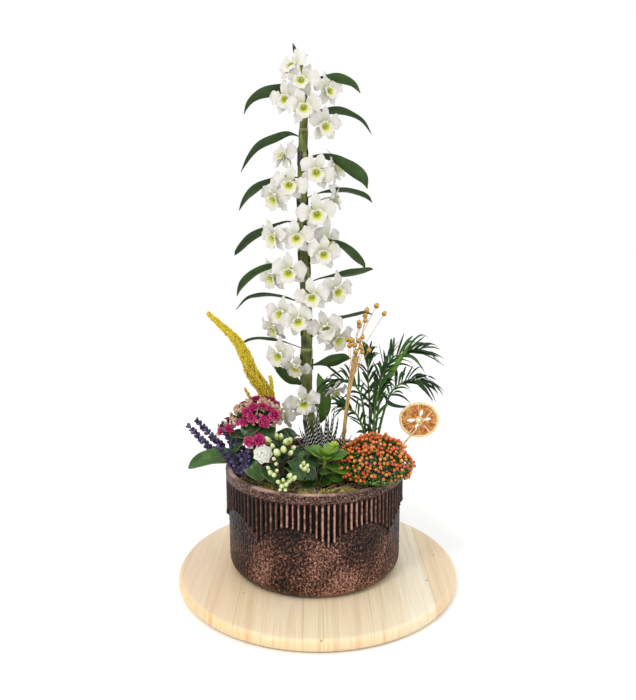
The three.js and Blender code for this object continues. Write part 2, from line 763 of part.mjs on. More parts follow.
// ---- dried orange slice on its stick ----
const SLICE = { at: [159, 10, 249], radius: 31, thick: 3.4, gaps: [20, 110, 200, 290] };
// A dried-out gap in the flesh as a triangle: each corner's distance from the middle and its turn in degrees.
const SLICE_GAP = [
  [9, 0],
  [20, -14],
  [20, 14],
];
const STICK = { radius: 1.2, from: [92, ROOT_Z], to: [176, 262] };
add("orange_slice", MATERIALS.orange, (extra) => {
  const [x, y, z] = SLICE.at;
  const outline = new THREE.Shape().absarc(0, 0, SLICE.radius + extra, 0, 2 * Math.PI);
  if (!extra) {
    for (const angle of SLICE.gaps) {
      const ring = SLICE_GAP.map(([r, spread]) => heading(angle + spread).multiplyScalar(r));
      outline.holes.push(new THREE.Path(ring.map((p) => new THREE.Vector2(p.x, p.y))));
    }
  }
  const depth = SLICE.thick + 2 * extra;
  const plate = new THREE.ExtrudeGeometry(outline, { depth, bevelEnabled: false, curveSegments: 12 });
  return solidOf(plate.translate(0, 0, -depth / 2).rotateX(Math.PI / 2).translate(x, y, z));
});
add("orange_pick", MATERIALS.stick, (extra) => {
  const y = SLICE.at[1] - SLICE.thick / 2 - STICK.radius - GAP * 1.2;
  const ends = [STICK.from, STICK.to].map(([x, z]) => point(x, y, z));
  const radiusAt = () => STICK.radius;
  return stalk({ curve: new THREE.LineCurve3(...ends), side: SIDE, radiusAt, sides: 8, steps: 1, extra });
});

// ---- soil and moss, which give way to every stem ----
add("potting_soil", MATERIALS.soil, () => {
  const edge = POT.inside - POT.taper - GAP;
  const low = POT_BASE + POT.floor + GAP;
  const profile = [
    [0, low],
    [edge - POT.corner - GAP, low],
    [edge, low + POT.cornerRise],
    [edge, SOIL_TOP],
    [0, SOIL_TOP],
  ];
  return turn(profile, ROUND_SIDES).translate([POT.x, POT.y, 0]);
});
const MOSS = { outer: 127, inner: 84, from: -150, to: -62, thick: 6 };
add("moss_mat", MATERIALS.moss, () => {
  const band = new THREE.Shape()
    .absarc(0, 0, MOSS.outer, MOSS.from * DEGREE, MOSS.to * DEGREE)
    .absarc(0, 0, MOSS.inner, MOSS.to * DEGREE, MOSS.from * DEGREE, true);
  const mat = new THREE.ExtrudeGeometry(band, { depth: MOSS.thick, bevelEnabled: false, curveSegments: 8 });
  return solidOf(mat.translate(POT.x, POT.y, SOIL_TOP + GAP));
});

export default root;
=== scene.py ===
import math

import bpy
import numpy as np
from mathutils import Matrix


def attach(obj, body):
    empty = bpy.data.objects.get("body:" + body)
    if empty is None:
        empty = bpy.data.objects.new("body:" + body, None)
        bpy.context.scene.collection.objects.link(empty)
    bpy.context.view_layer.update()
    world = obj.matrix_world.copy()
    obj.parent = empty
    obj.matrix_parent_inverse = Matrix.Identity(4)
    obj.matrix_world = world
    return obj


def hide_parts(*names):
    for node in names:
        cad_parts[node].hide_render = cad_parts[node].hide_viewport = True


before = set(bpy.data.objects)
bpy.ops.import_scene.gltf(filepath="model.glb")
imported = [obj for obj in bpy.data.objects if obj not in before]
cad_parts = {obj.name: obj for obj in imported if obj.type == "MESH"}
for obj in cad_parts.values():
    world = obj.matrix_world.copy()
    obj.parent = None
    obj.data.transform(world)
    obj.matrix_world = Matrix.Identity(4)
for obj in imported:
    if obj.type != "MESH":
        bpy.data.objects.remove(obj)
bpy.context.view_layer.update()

# A white dendrobium orchid in flower, planted with its companions in a fluted bronze-glazed bowl that
# stands on a round wooden board. Sizes are in millimetres, +Z is up and the front is -Y.


# ---- the studio ----
# A pale paper floor that runs to the horizon under a white dome. A soft key lamp stands high at the front
# left, and a weaker one fills from the right.
def linear(colour):
    """The linear RGBA of an sRGB hex colour."""
    shares = [int(colour[i : i + 2], 16) / 255 for i in (1, 3, 5)]
    return [c / 12.92 if c <= 0.04045 else ((c + 0.055) / 1.055) ** 2.4 for c in shares] + [1.0]


def empty_tree(owner):
    """The node tree of a material or world, with nothing but its output."""
    owner.use_nodes = True
    for node in list(owner.node_tree.nodes):
        if node.outputs:
            owner.node_tree.nodes.remove(node)
    return owner.node_tree


def new_material(name):
    """A material without a shader. add_node works in its tree until the next one is made."""
    global tree
    material = bpy.data.materials.new(name)
    tree = empty_tree(material)
    return material


def add_node(kind, *values, stops=None, **named):
    """Adds a node of a kind, with its operation after a space if it has one, to the tree in hand. values go
    into its sockets in order, and so do those with a capital by name: a number, a hex colour, a node, a
    socket, "place", or the name of a mark. Other names are settings, and stops colour its ramp. A shader
    goes on to the tree's output."""
    kind, _, operation = kind.partition(" ")
    made = tree.nodes.new("ShaderNode" + kind)
    if operation:
        made.operation = operation
    settings = {name: value for name, value in named.items() if name[0].islower()}
    for name, value in settings.items():
        setattr(made, name, value)
    sockets = [(made.inputs[name.replace("_", " ")], named[name]) for name in named if name not in settings]
    sockets += zip(made.inputs, values)
    for i, (place, colour) in enumerate((stops or {}).items()):
        elements = made.color_ramp.elements
        element = elements[i] if i < len(elements) else elements.new(place)
        element.position, element.color = place, linear(colour)
    for socket, value in sockets:
        if value == "place":
            value = add_node("TexCoord").outputs["Object"]
        elif isinstance(value, str) and value[0] != "#":
            value = add_node("Attribute", attribute_name=value).outputs["Fac"]
        elif isinstance(value, bpy.types.Node):
            value = value.outputs[0]
        if isinstance(value, bpy.types.NodeSocket):
            tree.links.new(value, socket)
        else:
            socket.default_value = linear(value) if isinstance(value, str) else value
    if made.outputs[0].type == "SHADER":
        tree.links.new(made.outputs[0], tree.get_output_node("ALL").inputs["Surface"])
    return made


def put(name, data, place=(0, 0, 0), turn=(0, 0, 0)):
    """Stands a lamp, a camera or a mesh in the scene."""
    holder = bpy.data.objects.new(name, data)
    bpy.context.collection.objects.link(holder)
    holder.location, holder.rotation_euler = place, turn
    return holder


scene = bpy.context.scene
scene.view_settings.view_transform, scene.view_settings.look = "Standard", "None"
# The dome looks evenly white, but it lights the plants mostly from above.
DOME_SEEN, DOME_LOW, DOME_HIGH = 1.0, 0.42, 1.38
scene.world = bpy.data.worlds.new("studio_dome")
tree = empty_tree(scene.world)
upward = add_node("SeparateXYZ", add_node("TexCoord").outputs["Generated"]).outputs["Z"]
lit = add_node("Background", "#ffffff", add_node("MapRange", upward, 0, 1, DOME_LOW, DOME_HIGH))
seen = add_node("Background", "#ffffff", DOME_SEEN)
add_node("MixShader", add_node("LightPath"), lit, seen)

LIT_SPOT = (0.0, 0.0, 0.4)
# Each lamp: its name, its place in metres, its width and its watts.
LAMPS = [("key_lamp", (-1.3, -1.7, 2.3), 0.6, 24.0), ("fill_lamp", (1.8, -1.4, 1.2), 1.6, 6.0)]
for name, place, width, watts in LAMPS:
    lamp = bpy.data.lights.new(name, "AREA")
    lamp.size, lamp.energy = width, watts
    aim = np.subtract(LIT_SPOT, place)
    tilt, yaw = math.acos(-aim[2] / np.linalg.norm(aim)), math.atan2(aim[1], aim[0])
    put(name, lamp, place, (tilt, 0, yaw - math.pi / 2))

CAMERA_PLACE = (0.0005, -0.993, 0.526)
CAMERA_PITCH = 9.4  # degrees below the horizon
camera = bpy.data.cameras.new("camera")
camera.lens, camera.sensor_width, camera.clip_end = 33.94, 36, 200
scene.camera = put("camera", camera, CAMERA_PLACE, (math.radians(90 - CAMERA_PITCH), 0, 0))

FLOOR_HALF = 60.0
FLOOR_DROP = 0.0006  # keeps the floor clear of the board's underside
sheet = bpy.data.meshes.new("floor")
corners = [(x * FLOOR_HALF, y * FLOOR_HALF) for x, y in ((-1, -1), (1, -1), (1, 1), (-1, 1))]
sheet.from_pydata([(x, y, -FLOOR_DROP) for x, y in corners], [], [(0, 1, 2, 3)])
floor = put("floor", sheet)
# Seamless background paper: matt and nearly white, so that only the soft shadow shows on it.
sheet.materials.append(new_material("background_paper"))
add_node("BsdfPrincipled", "#fbfbfa", Roughness=0.9)


# ---- the serving board ----
# A round of pale softwood staves glued side by side, turned to a bullnose edge, sanded and given a thin
# clear lacquer. It lies flat on the table.
MM = 0.001
SHARP_EDGE = math.radians(62)
MARKS = ("along", "across", "chance", "tone")


def unit(ways):
    """Each way at a length of one."""
    return ways / np.linalg.norm(ways, axis=-1, keepdims=True)


def ring_faces(rows, sides):
    """The faces of a body of rings: its walls, and the fans round the two last points that close it."""
    index = np.arange(rows * sides).reshape(rows, sides)
    after = np.roll(index, -1, axis=1)
    walls = np.stack([index[:-1], after[:-1], after[1:], index[1:]], axis=-1).reshape(-1, 4)
    low = np.full(sides, rows * sides)
    fans = [np.stack([low, after[0], index[0]], -1), np.stack([low + 1, index[-1], after[-1]], -1)]
    return walls, np.vstack(fans)


class Surfaces:
    """Closed surfaces gathered for one piece. Each point carries four marks for the materials: how far along
    its leaf, petal or stem it is, how far across, a chance drawn once for that leaf, and a tone that
    tells the face of a leaf from its back, or how dark or bright it is."""

    def __init__(self):
        self.points, self.marks, self.faces, self.skins, self.count = [], [], [], [], 0

    def add(self, points, faces, along, across, chance=0.0, tone=0.0, skin=0):
        points = np.reshape(points, (-1, 3))
        self.points.append(points)
        self.marks.append([np.broadcast_to(np.ravel(m), len(points)) for m in (along, across, chance, tone)])
        for corners in faces:
            self.faces.append(corners + self.count)
            self.skins.append(np.full(len(corners), skin))
        self.count += len(points)

    def rings(self, points, caps, along=None, across=None, chance=0.0, tone=0.0, skin=0):
        """A closed body of rings of points, with a cap point that closes each end."""
        rows, sides = points.shape[:2]
        if along is None:
            along = np.repeat(np.linspace(0, 1, rows), sides)
        if across is None:
            across = np.tile(np.cos(np.linspace(0, 2 * np.pi, sides, endpoint=False)), rows)
        along, chance, tone = (
            np.append(m, np.ravel(m)[[0, -1]]) if np.ndim(m) else m for m in (along, chance, tone)
        )
        points = np.vstack([points.reshape(-1, 3), caps])
        self.add(points, ring_faces(rows, sides), along, np.append(across, [0, 0]), chance, tone, skin)

    def tube(self, path, radii, sides=8, flat=1.0, **given):
        """A round stem, bud or berry along a path. flat squeezes it one way."""
        path = np.asarray(path, float)
        along = unit(np.gradient(path, axis=0))
        way, ways = np.array((0.31, 0.77, 0.55)), []
        for step in along:
            way = unit(way - step * way.dot(step))
            ways.append(way)
        turn = np.linspace(0, 2 * np.pi, sides, endpoint=False)[:, None]
        ring = np.cos(turn) * np.array(ways)[:, None] + flat * np.sin(turn) * np.cross(along, ways)[:, None]
        points = path[:, None] + np.broadcast_to(radii, len(path))[:, None, None] * ring
        self.rings(points, path[[0, -1]], **given)

    def shell(self, middle, thick, tones=(0.0, 1.0), wrap=False, rim=0.35, **given):
        """A thin leaf or petal about a grid of middle points, its rows along it and its columns across. rim
        is the share of its thickness left at its edges, and wrap closes it into a round."""
        rows, columns = middle.shape[:2]
        index = np.arange(rows * columns).reshape(rows, columns)
        if wrap:
            across = (np.roll(middle, -1, axis=1) - np.roll(middle, 1, axis=1)) / 2
            places, body = np.linspace(0, 1, columns, endpoint=False), 1
            start, after = index, np.roll(index, -1, axis=1)
        else:
            across = np.gradient(middle, axis=1)
            places = np.linspace(-1, 1, columns)
            body = 1 - (1 - rim) * np.abs(places) ** 6
            start, after = index[:, :-1], index[:, 1:]
        face = np.cross(np.gradient(middle, axis=0), across)
        face /= np.maximum(np.linalg.norm(face, axis=2, keepdims=True), 1e-9)
        half = face * (np.broadcast_to(thick, (rows, columns)) * body)[:, :, None] / 2
        under = rows * columns
        front = np.stack([start[:-1], start[1:], after[1:], after[:-1]], axis=-1).reshape(-1, 4)
        faces = [front, front[:, ::-1] + under]
        edges = [(start[0], after[0], True), (start[-1], after[-1], False)]
        if not wrap:
            edges += [(index[:-1, 0], index[1:, 0], False), (index[:-1, -1], index[1:, -1], True)]
        for a, b, forward in edges:
            corners = [a, b, b + under, a + under] if forward else [a, a + under, b + under, b]
            faces.append(np.stack(corners, axis=-1))
        along = np.tile(np.repeat(np.linspace(0, 1, rows), columns), 2)
        points, tone = [middle + half, middle - half], np.repeat(tones, under)
        self.add(points, faces, along, np.tile(places, 2 * rows), tone=tone, **given)

    def darts(self, feet, heads, sides, widths, thick, chance=0.0, tone=0.0, skin=0):
        """Many small closed pointed bodies at once, such as husks, moss leaves or sepals."""
        way = heads - feet
        side = sides - way * (np.sum(sides * way, 1) / np.maximum(np.sum(way * way, 1), 1e-9))[:, None]
        side /= np.maximum(np.linalg.norm(side, axis=1, keepdims=True), 1e-9)
        belly = feet + way * 0.45
        reach = side * (np.broadcast_to(widths, len(feet)) / 2)[:, None]
        rise = np.cross(unit(way), side) * (thick / 2)
        corners = np.stack([feet, belly + reach, belly + rise, belly - reach, belly - rise, heads], axis=1)
        around = [(1, 2), (2, 3), (3, 4), (4, 1)]
        pattern = np.array([(0, b, a) for a, b in around] + [(5, a, b) for a, b in around])
        faces = (np.arange(len(feet)) * 6)[:, None, None] + pattern
        along = np.tile([0, 0.45, 0.45, 0.45, 0.45, 1], len(feet))
        across = np.tile([0, 1, 0, -1, 0, 0], len(feet))
        chance, tone = (np.repeat(np.broadcast_to(m, len(feet)), 6) for m in (chance, tone))
        self.add(corners, [faces.reshape(-1, 3)], along, across, chance, tone, skin)


def make_piece(name, surfaces, skins, stands_for):
    """One mesh of the gathered surfaces, with its materials, in the place of a CAD node."""
    mesh = bpy.data.meshes.new(name)
    points = np.vstack(surfaces.points) * MM
    sizes = np.concatenate([np.full(len(f), f.shape[1]) for f in surfaces.faces])
    corners = np.concatenate([f.ravel() for f in surfaces.faces])
    mesh.vertices.add(len(points))
    mesh.vertices.foreach_set("co", points.ravel())
    mesh.loops.add(len(corners))
    mesh.loops.foreach_set("vertex_index", corners.astype(np.int32))
    mesh.polygons.add(len(sizes))
    mesh.polygons.foreach_set("loop_start", (np.cumsum(sizes) - sizes).astype(np.int32))
    mesh.polygons.foreach_set("material_index", np.concatenate(surfaces.skins).astype(np.int32))
    mesh.polygons.foreach_set("use_smooth", np.ones(len(sizes), bool))
    for mark, values in zip(MARKS, np.hstack(surfaces.marks)):
        mesh.attributes.new(mark, "FLOAT", "POINT").data.foreach_set("value", values)
    mesh.update(calc_edges=True)
    mesh.set_sharp_from_angle(angle=SHARP_EDGE)
    for skin in skins:
        mesh.materials.append(skin)
    piece = put(name, mesh)
    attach(piece, "root")
    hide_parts(stands_for)


def round_about(middle, radius, angle, height):
    """Points at a radius, an angle and a height about the upright axis through the middle."""
    places = middle[0] + radius * np.cos(angle), middle[1] + radius * np.sin(angle), height
    return np.stack(np.broadcast_arrays(*places), axis=-1)


def turned(surfaces, profile, sides, middle=(0, 0), **given):
    """A body turned on a lathe. Its profile of (radius, height) runs from axis to axis, upwards."""
    profile = np.asarray(profile, float)
    angle = np.linspace(0, 2 * np.pi, sides, endpoint=False)
    points = round_about(middle, profile[1:-1, :1], angle, profile[1:-1, 1:])
    surfaces.rings(points, [(*middle, profile[0, 1]), (*middle, profile[-1, 1])], **given)


BOARD_RADIUS, BOARD_THICK = 219, 18
NOSE = BOARD_THICK / 2
bend = np.radians(np.linspace(-90, 90, 19))
nose = np.stack([BOARD_RADIUS - NOSE + NOSE * np.cos(bend), NOSE + NOSE * np.sin(bend)], axis=1)
top_rings = [(r, BOARD_THICK) for r in (200, 180, 150, 110, 60, 0)]
board = Surfaces()
turned(board, [(0, 0), (60, 0), (150, 0), *nose, *top_rings], 288)

# Glued softwood, planed, sanded and lacquered: pale cream staves 47 mm wide that each differ a little, a
# fine straight grain 1.2 mm apart running front to back, a few dark specks, and a warmer, oranger edge
# where the lathe opened the grain.
STAVE = 47 * MM
wood = new_material("lacquered_glued_pine")
x, y, z = add_node("SeparateXYZ", "place").outputs
stave = add_node("Math ADD", add_node("Math MULTIPLY", x, 1 / STAVE), 0.42)
chance = add_node("TexWhiteNoise", W=add_node("Math FLOOR", stave), noise_dimensions="1D")
STAVES = {0: "#eed8b6", 0.3: "#f5e9ce", 0.6: "#f2e3c3", 0.8: "#f7eed6", 1: "#efd9b1"}
colour = add_node("ValToRGB", chance, stops=STAVES)
stretch = add_node("Mapping", "place", Scale=(830, 14, 14))
fibre = add_node("TexNoise", stretch, Scale=1, Detail=4, Roughness=0.6)
stretch = add_node("Mapping", "place", Scale=(120, 3.5, 3.5))
ring = add_node("TexNoise", stretch, Scale=1, Detail=2, Distortion=0.6)
# The grain, the year rings, a warmer left, and glue lines about half a millimetre wide.
glue = add_node("Math PINGPONG", stave, 1)
for mark, *span, tint in [
    (fibre, 0.35, 0.75, 0, 0.42, "#d0ab75"),
    (ring, 0.5, 0.72, 0, 0.36, "#cfae7c"),
    (x, -0.215, -0.09, 0.5, 0, "#d8ab83"),
    (glue, 0.004, 0.02, 0.45, 0, "#b48f60"),
]:
    colour = add_node("MixRGB", add_node("MapRange", mark, *span), colour, tint)
# One fine drying crack near the middle of the front, and the specks.
wander = add_node("MapRange", add_node("TexNoise", "place", Scale=28, Detail=3), 0, 1, -0.0022, 0.0022)
crack = add_node("Math ADD", add_node("Math ADD", x, wander), -0.0075)
crack = add_node("MapRange", add_node("Math ABSOLUTE", crack), 0.0001, 0.0006, 1, 0)
crack = add_node("Math MULTIPLY", crack, add_node("MapRange", y, -0.15, -0.12, 1, 0))
colour = add_node("MixRGB", add_node("Math MULTIPLY", crack, 0.6), colour, "#7d5f3d")
specks = add_node("TexVoronoi", "place", Scale=34)
speck = add_node("MapRange", specks, 0.04, 0.075, 0.8, 0)
speck = add_node("Math MULTIPLY", speck, add_node("Math GREATER_THAN", specks.outputs["Color"], 0.5))
colour = add_node("MixRGB", speck, colour, "#6d4a2c")
# The turned edge.
from_middle = add_node("VectorMath LENGTH", add_node("CombineXYZ", x, y)).outputs["Value"]
edge = add_node("MapRange", from_middle, 0.2125, 0.2165, 0, 1)
edge = add_node("Math MULTIPLY", edge, add_node("MapRange", x, -0.15, 0.12, 0.9, 0.45))
opened = add_node("ValToRGB", ring, stops={0.25: "#ebc68b", 0.5: "#f1d5a2", 0.75: "#dfac68"})
colour = add_node("MixRGB", edge, colour, opened)
bump = add_node("Bump", Height=add_node("Math SUBTRACT", fibre, crack), Strength=0.25, Distance=0.0004)
add_node("BsdfPrincipled", colour, Roughness=0.42, IOR=1.5, Coat_Weight=0.15, Normal=bump)
make_piece("board", board, [wood], "serving_board")


# ---- the planter pot ----
# A thrown stoneware bowl. A band of narrow upright ribs stands proud of the wall below a plain rim and
# hangs in eight points with round arches between them. The wall below is pressed with a pebbled relief,
# and the whole is dipped in a dark bronze glaze that breaks to copper on every edge.
POT_MIDDLE = (-5, 12)
POT_BASE = BOARD_THICK
POT_HEIGHT, POT_FLOOR, FOOT = 161, 11, 18
RIM, WALL, INSIDE = 140, 135.5, 129  # radii
POT_POINTS, POINT_HEIGHT, ARCH_HEIGHT, POINT_ANGLE = 8, 78, 108, -81
RIBS, STEPS_A_RIB = 104, 7
PLAIN_RIM, LIP_RISE, RELIEF = 12.5, 4, 0.45


def mixed(a, b, share):
    return a + (b - a) * share


def smooth_step(value, low, high):
    share = np.clip((value - low) / (high - low), 0, 1)
    return share * share * (3 - 2 * share)


def wobble(points, size, seed, waves=20):
    """A smooth random height about 0, with bumps about as wide as size."""
    draw = np.random.default_rng(seed)
    ways = unit(draw.normal(size=(waves, points.shape[-1])))
    ways *= 2 * np.pi / (size * draw.uniform(1.4, 2.6, (waves, 1)))
    phases = draw.uniform(0, 2 * np.pi, waves)
    return np.sin(points @ ways.T + phases).sum(-1) / math.sqrt(waves / 2)


def band_edge(angle):
    """The height of the scalloped lower edge of the band."""
    share = np.abs(np.sin((angle - math.radians(POINT_ANGLE)) * POT_POINTS / 2))
    return mixed(POINT_HEIGHT, ARCH_HEIGHT, share**0.7)


draw = np.random.default_rng(3)
rib_width = draw.uniform(0.33, 0.42, RIBS)
rib_rise = draw.uniform(0.85, 1.1, RIBS)
rib_end = draw.normal(0, 0.8, RIBS)
columns = RIBS * STEPS_A_RIB
turn = np.arange(columns) * 2 * np.pi / columns
rib, step = np.divmod(np.arange(columns), STEPS_A_RIB)
off_rib = np.abs((step + 0.5) / STEPS_A_RIB - 0.5)
crest = np.clip(1 - (off_rib / rib_width[rib]) ** 2, 0, 1) ** 0.8 * rib_rise[rib]

# The profile from the foot up the wall, over the lip and down inside. The wall's radii come from the ribs.
top = POT_HEIGHT - PLAIN_RIM
runs = [(FOOT, 74, 20), (76, 116, 26), (119, top - 2, 8), (top - 0.5, POT_HEIGHT - LIP_RISE, 6)]
heights = np.concatenate([np.linspace(*run) for run in runs])
foot_bend, rim_bend = np.radians(np.linspace(8, 82, 6)), np.radians(np.linspace(10, 170, 9))
LIP = (RIM - INSIDE) / 2
foot_rows = [(WALL - FOOT + FOOT * math.sin(b), FOOT - FOOT * math.cos(b)) for b in foot_bend]
lip_rows = [(RIM - LIP + LIP * math.cos(b), POT_HEIGHT - LIP_RISE + LIP_RISE * math.sin(b)) for b in rim_bend]
inner_rows = [(INSIDE - i, h) for i, h in ((0, 150), (0.5, 120), (1, 25), (5, 15), (12, POT_FLOOR))]
base_rows = [(WALL - FOOT - 20, 0), (WALL - FOOT, 0), *foot_rows]
profile = np.array([*base_rows, *[(0, h) for h in heights], *lip_rows, *inner_rows])
wall = slice(len(base_rows), len(base_rows) + len(heights))
radius, height = (np.repeat(profile[:, [k]], columns, axis=1) for k in (0, 1))

up = heights[:, None]
edge = band_edge((rib + 0.5) * 2 * np.pi / RIBS) + rib_end[rib]
on_band = smooth_step(up, edge - 1.0, edge + 3.5)
bulb = np.exp(-(((up - edge - 3.0) / 3.2) ** 2))
under_rim = smooth_step(up, top - 3, top)
ridge = np.exp(-(((up - band_edge(turn) + 1.5) / 1.6) ** 2))
rise = (RIM - WALL) * (0.86 * crest + 0.06) * on_band * (1 + 0.16 * bulb)
rise = np.maximum(rise, 0.9 * ridge) + (crest > 0.4) * bulb * 0.3
radius[wall] = WALL + mixed(rise, RIM - WALL - 0.4, under_rim)
crests, region = np.zeros(radius.shape), np.zeros(radius.shape)
crests[wall] = mixed(np.maximum(crest * on_band, 0.35 * ridge), 0.45, under_rim)
# The glaze tells the regions apart: 0 the wall, 1 the band, 2 the rim and 3 the inside.
region[wall] = smooth_step(up, edge - 2, edge + 2) * (1 - under_rim) + 2 * under_rim
region[wall.stop :] = 2
region[-len(inner_rows) :] = 3
# The pebbled relief, which fades at the seam of the turn, on the ribs and inside.
pebbles = wobble(np.stack([turn * WALL + 0 * height, height * 0.9], axis=-1), 3.3, 5, 40)
worms = np.tanh(1.3 * pebbles) * smooth_step(turn, 0, 0.2) * smooth_step(2 * np.pi - turn, 0, 0.2)
relief = np.zeros((len(profile), 1))
relief[3 : wall.stop + 3] = RELIEF
radius += worms * relief * (1 - 0.75 * smooth_step(crests, 0.2, 0.8))
crests[wall.stop : -len(inner_rows)] = 0.8
pot = Surfaces()
caps = [(*POT_MIDDLE, POT_BASE), (*POT_MIDDLE, POT_BASE + POT_FLOOR)]
points = round_about(POT_MIDDLE, radius, turn, POT_BASE + height)
pot.rings(points, caps, along=crests, across=worms, chance=height / POT_HEIGHT, tone=region)

# Bronze stoneware glaze, dipped and fired: nearly black where it pools in the grooves and hollows, brown
# on the flat, and a pinkish copper where it runs thin on ribs, pebbles and the rim. It has a low gloss,
# with a pebble grain of 2 to 4 mm that goes on below what the mesh holds. Shade is painted in darker
# towards the left and right sides, and a highlight along the top of the lip.
glaze = new_material("bronze_stoneware_glaze")
x, y, z = add_node("SeparateXYZ", "place").outputs
pebble = add_node("TexNoise", "place", Scale=430, Detail=3, Roughness=0.65, Distortion=0.6)
coarse = add_node("TexNoise", "place", Scale=170, Detail=4)
patch = add_node("TexNoise", "place", Scale=17, Detail=3)
from_front = add_node("Math ABSOLUTE", add_node("Math ADD", x, -0.012))
# The wall is warmer low down, in patches and on its pebbles. It is also painted lighter in front and darker
# towards the left and right sides, as shade where the wall turns away.
warmth_and_side_shade = add_node("MapRange", "chance", 0, 0.6, 0.16, -0.06)
for mark, *span in [
    (from_front, 0.02, 0.125, 0.04, -0.18),
    (patch, 0.3, 0.7, -0.21, 0.21),
    ("across", -1, 1, -0.1, 0.16),
    (pebble, 0.32, 0.68, 0, 0.85),
]:
    warmth_and_side_shade = add_node("Math ADD", warmth_and_side_shade, add_node("MapRange", mark, *span))
WALL_GLAZE = {0.1: "#080504", 0.32: "#180e0b", 0.5: "#3d271f", 0.7: "#7b5142", 0.95: "#b98d7b"}
on_wall = add_node("ValToRGB", warmth_and_side_shade, stops=WALL_GLAZE)
# The band is light on its crests, where the glaze runs thin, and painted darker towards the left and right
# sides as shade.
light = add_node("Math ADD", "along", add_node("MapRange", coarse, 0.3, 0.7, -0.12, 0.16))
light = add_node("Math MULTIPLY", light, add_node("MapRange", from_front, 0.05, 0.12, 1, 0.74))
RIB_GLAZE = {0.16: "#070403", 0.5: "#170e0b", 0.74: "#432b22", 0.92: "#7c5547", 1: "#b58b7b"}
on_ribs = add_node("ValToRGB", light, stops=RIB_GLAZE)
colour = add_node("MixRGB", add_node("Math MINIMUM", "tone", 1), on_wall, on_ribs)
# The rim is flecked. Its lip carries a painted highlight along the top edge, partly glaze worn pale, in
# patches and fading out towards the right.
RIM_GLAZE = {0.36: "#0f0806", 0.47: "#33211b", 0.58: "#7a584b", 0.72: "#c4a092"}
fleck = add_node("ValToRGB", pebble, stops=RIM_GLAZE)
colour = add_node("MixRGB", add_node("MapRange", "tone", 1, 2, 0, 1), colour, fleck)
lip_highlight_and_wear = add_node("MapRange", z, 0.1765, 0.1788, 0, 0.95)
lip_highlight_and_wear = add_node("Math MULTIPLY", lip_highlight_and_wear, add_node("MapRange", patch, 0.42, 0.58, 0.1, 1))
lip_highlight_and_wear = add_node("Math MULTIPLY", lip_highlight_and_wear, add_node("MapRange", x, 0.02, 0.08, 1, 0.2))
colour = add_node("MixRGB", lip_highlight_and_wear, colour, "#dcb6a8")
# The inside, below the lip, is darkened nearly to black.
colour = add_node("MixRGB", add_node("MapRange", "tone", 2, 3, 0, 0.8), colour, "#1b110e")
bump = add_node("Bump", Height=add_node("Math ADD", pebble, coarse), Strength=0.55, Distance=0.0009)
gloss = add_node("MapRange", pebble, 0.3, 0.7, 0.28, 0.5)
fired = dict(Metallic=0.1, Specular_IOR_Level=0.16, IOR=1.5)
add_node("BsdfPrincipled", colour, Roughness=gloss, Normal=bump, **fired)
make_piece("pot", pot, [glaze], "planter_pot")


# ---- the potting mix ----
# Dark peaty mix with chips of pine bark and loose coir fibres, filled to 10 mm below the rim and rough on
# top. It holds every stem.
SOIL_TOP = POT_BASE + POT_HEIGHT - 10
SOIL_RADIUS = INSIDE - 1.6
SCATTER = 122  # how far from the middle the loose bits lie
BARK_CHIPS, CHIP_LONG, CHIP_RADIUS = 260, (4, 13), (1.4, 3.4)
COIR_FIBRES, FIBRE_HALF, FIBRE_RADIUS = 210, (7, 20), (0.22, 0.45)


def bends(u):
    """How much of the start, the way out of it, the end and the way into it, at a share of a smooth bend."""
    return 2 * u**3 - 3 * u**2 + 1, u**3 - 2 * u**2 + u, 3 * u**2 - 2 * u**3, u**3 - u**2


def through(points, steps):
    """A smooth curve through the points, in even steps from the first to the last, or at given shares."""
    points = np.asarray(points, float)
    shares = np.linspace(0, 1, steps) if np.ndim(steps) == 0 else steps
    ends = np.vstack([2 * points[0] - points[1], points, 2 * points[-1] - points[-2]])
    gaps = np.linalg.norm(np.diff(ends, axis=0), axis=1) ** 0.5
    at = np.clip(shares * (len(points) - 1), 0, len(points) - 1 - 1e-9)
    i = at.astype(int)
    before, span, after = (gaps[i + k][:, None] for k in range(3))
    p0, p1, p2, p3 = (ends[i + k] for k in range(4))
    leave = ((p1 - p0) / before - (p2 - p0) / (before + span) + (p2 - p1) / span) * span
    reach = ((p2 - p1) / span - (p3 - p1) / (span + after) + (p3 - p2) / after) * span
    return sum(share * part for share, part in zip(bends((at - i)[:, None]), (p1, leave, p2, reach)))


def heading(azimuth, climb=0.0):
    """The direction at an azimuth and a climb in degrees; -90 is the front."""
    a, c = np.radians(azimuth), np.radians(climb)
    return np.stack([np.cos(a) * np.cos(c), np.sin(a) * np.cos(c), np.sin(c) + 0 * a], axis=-1)


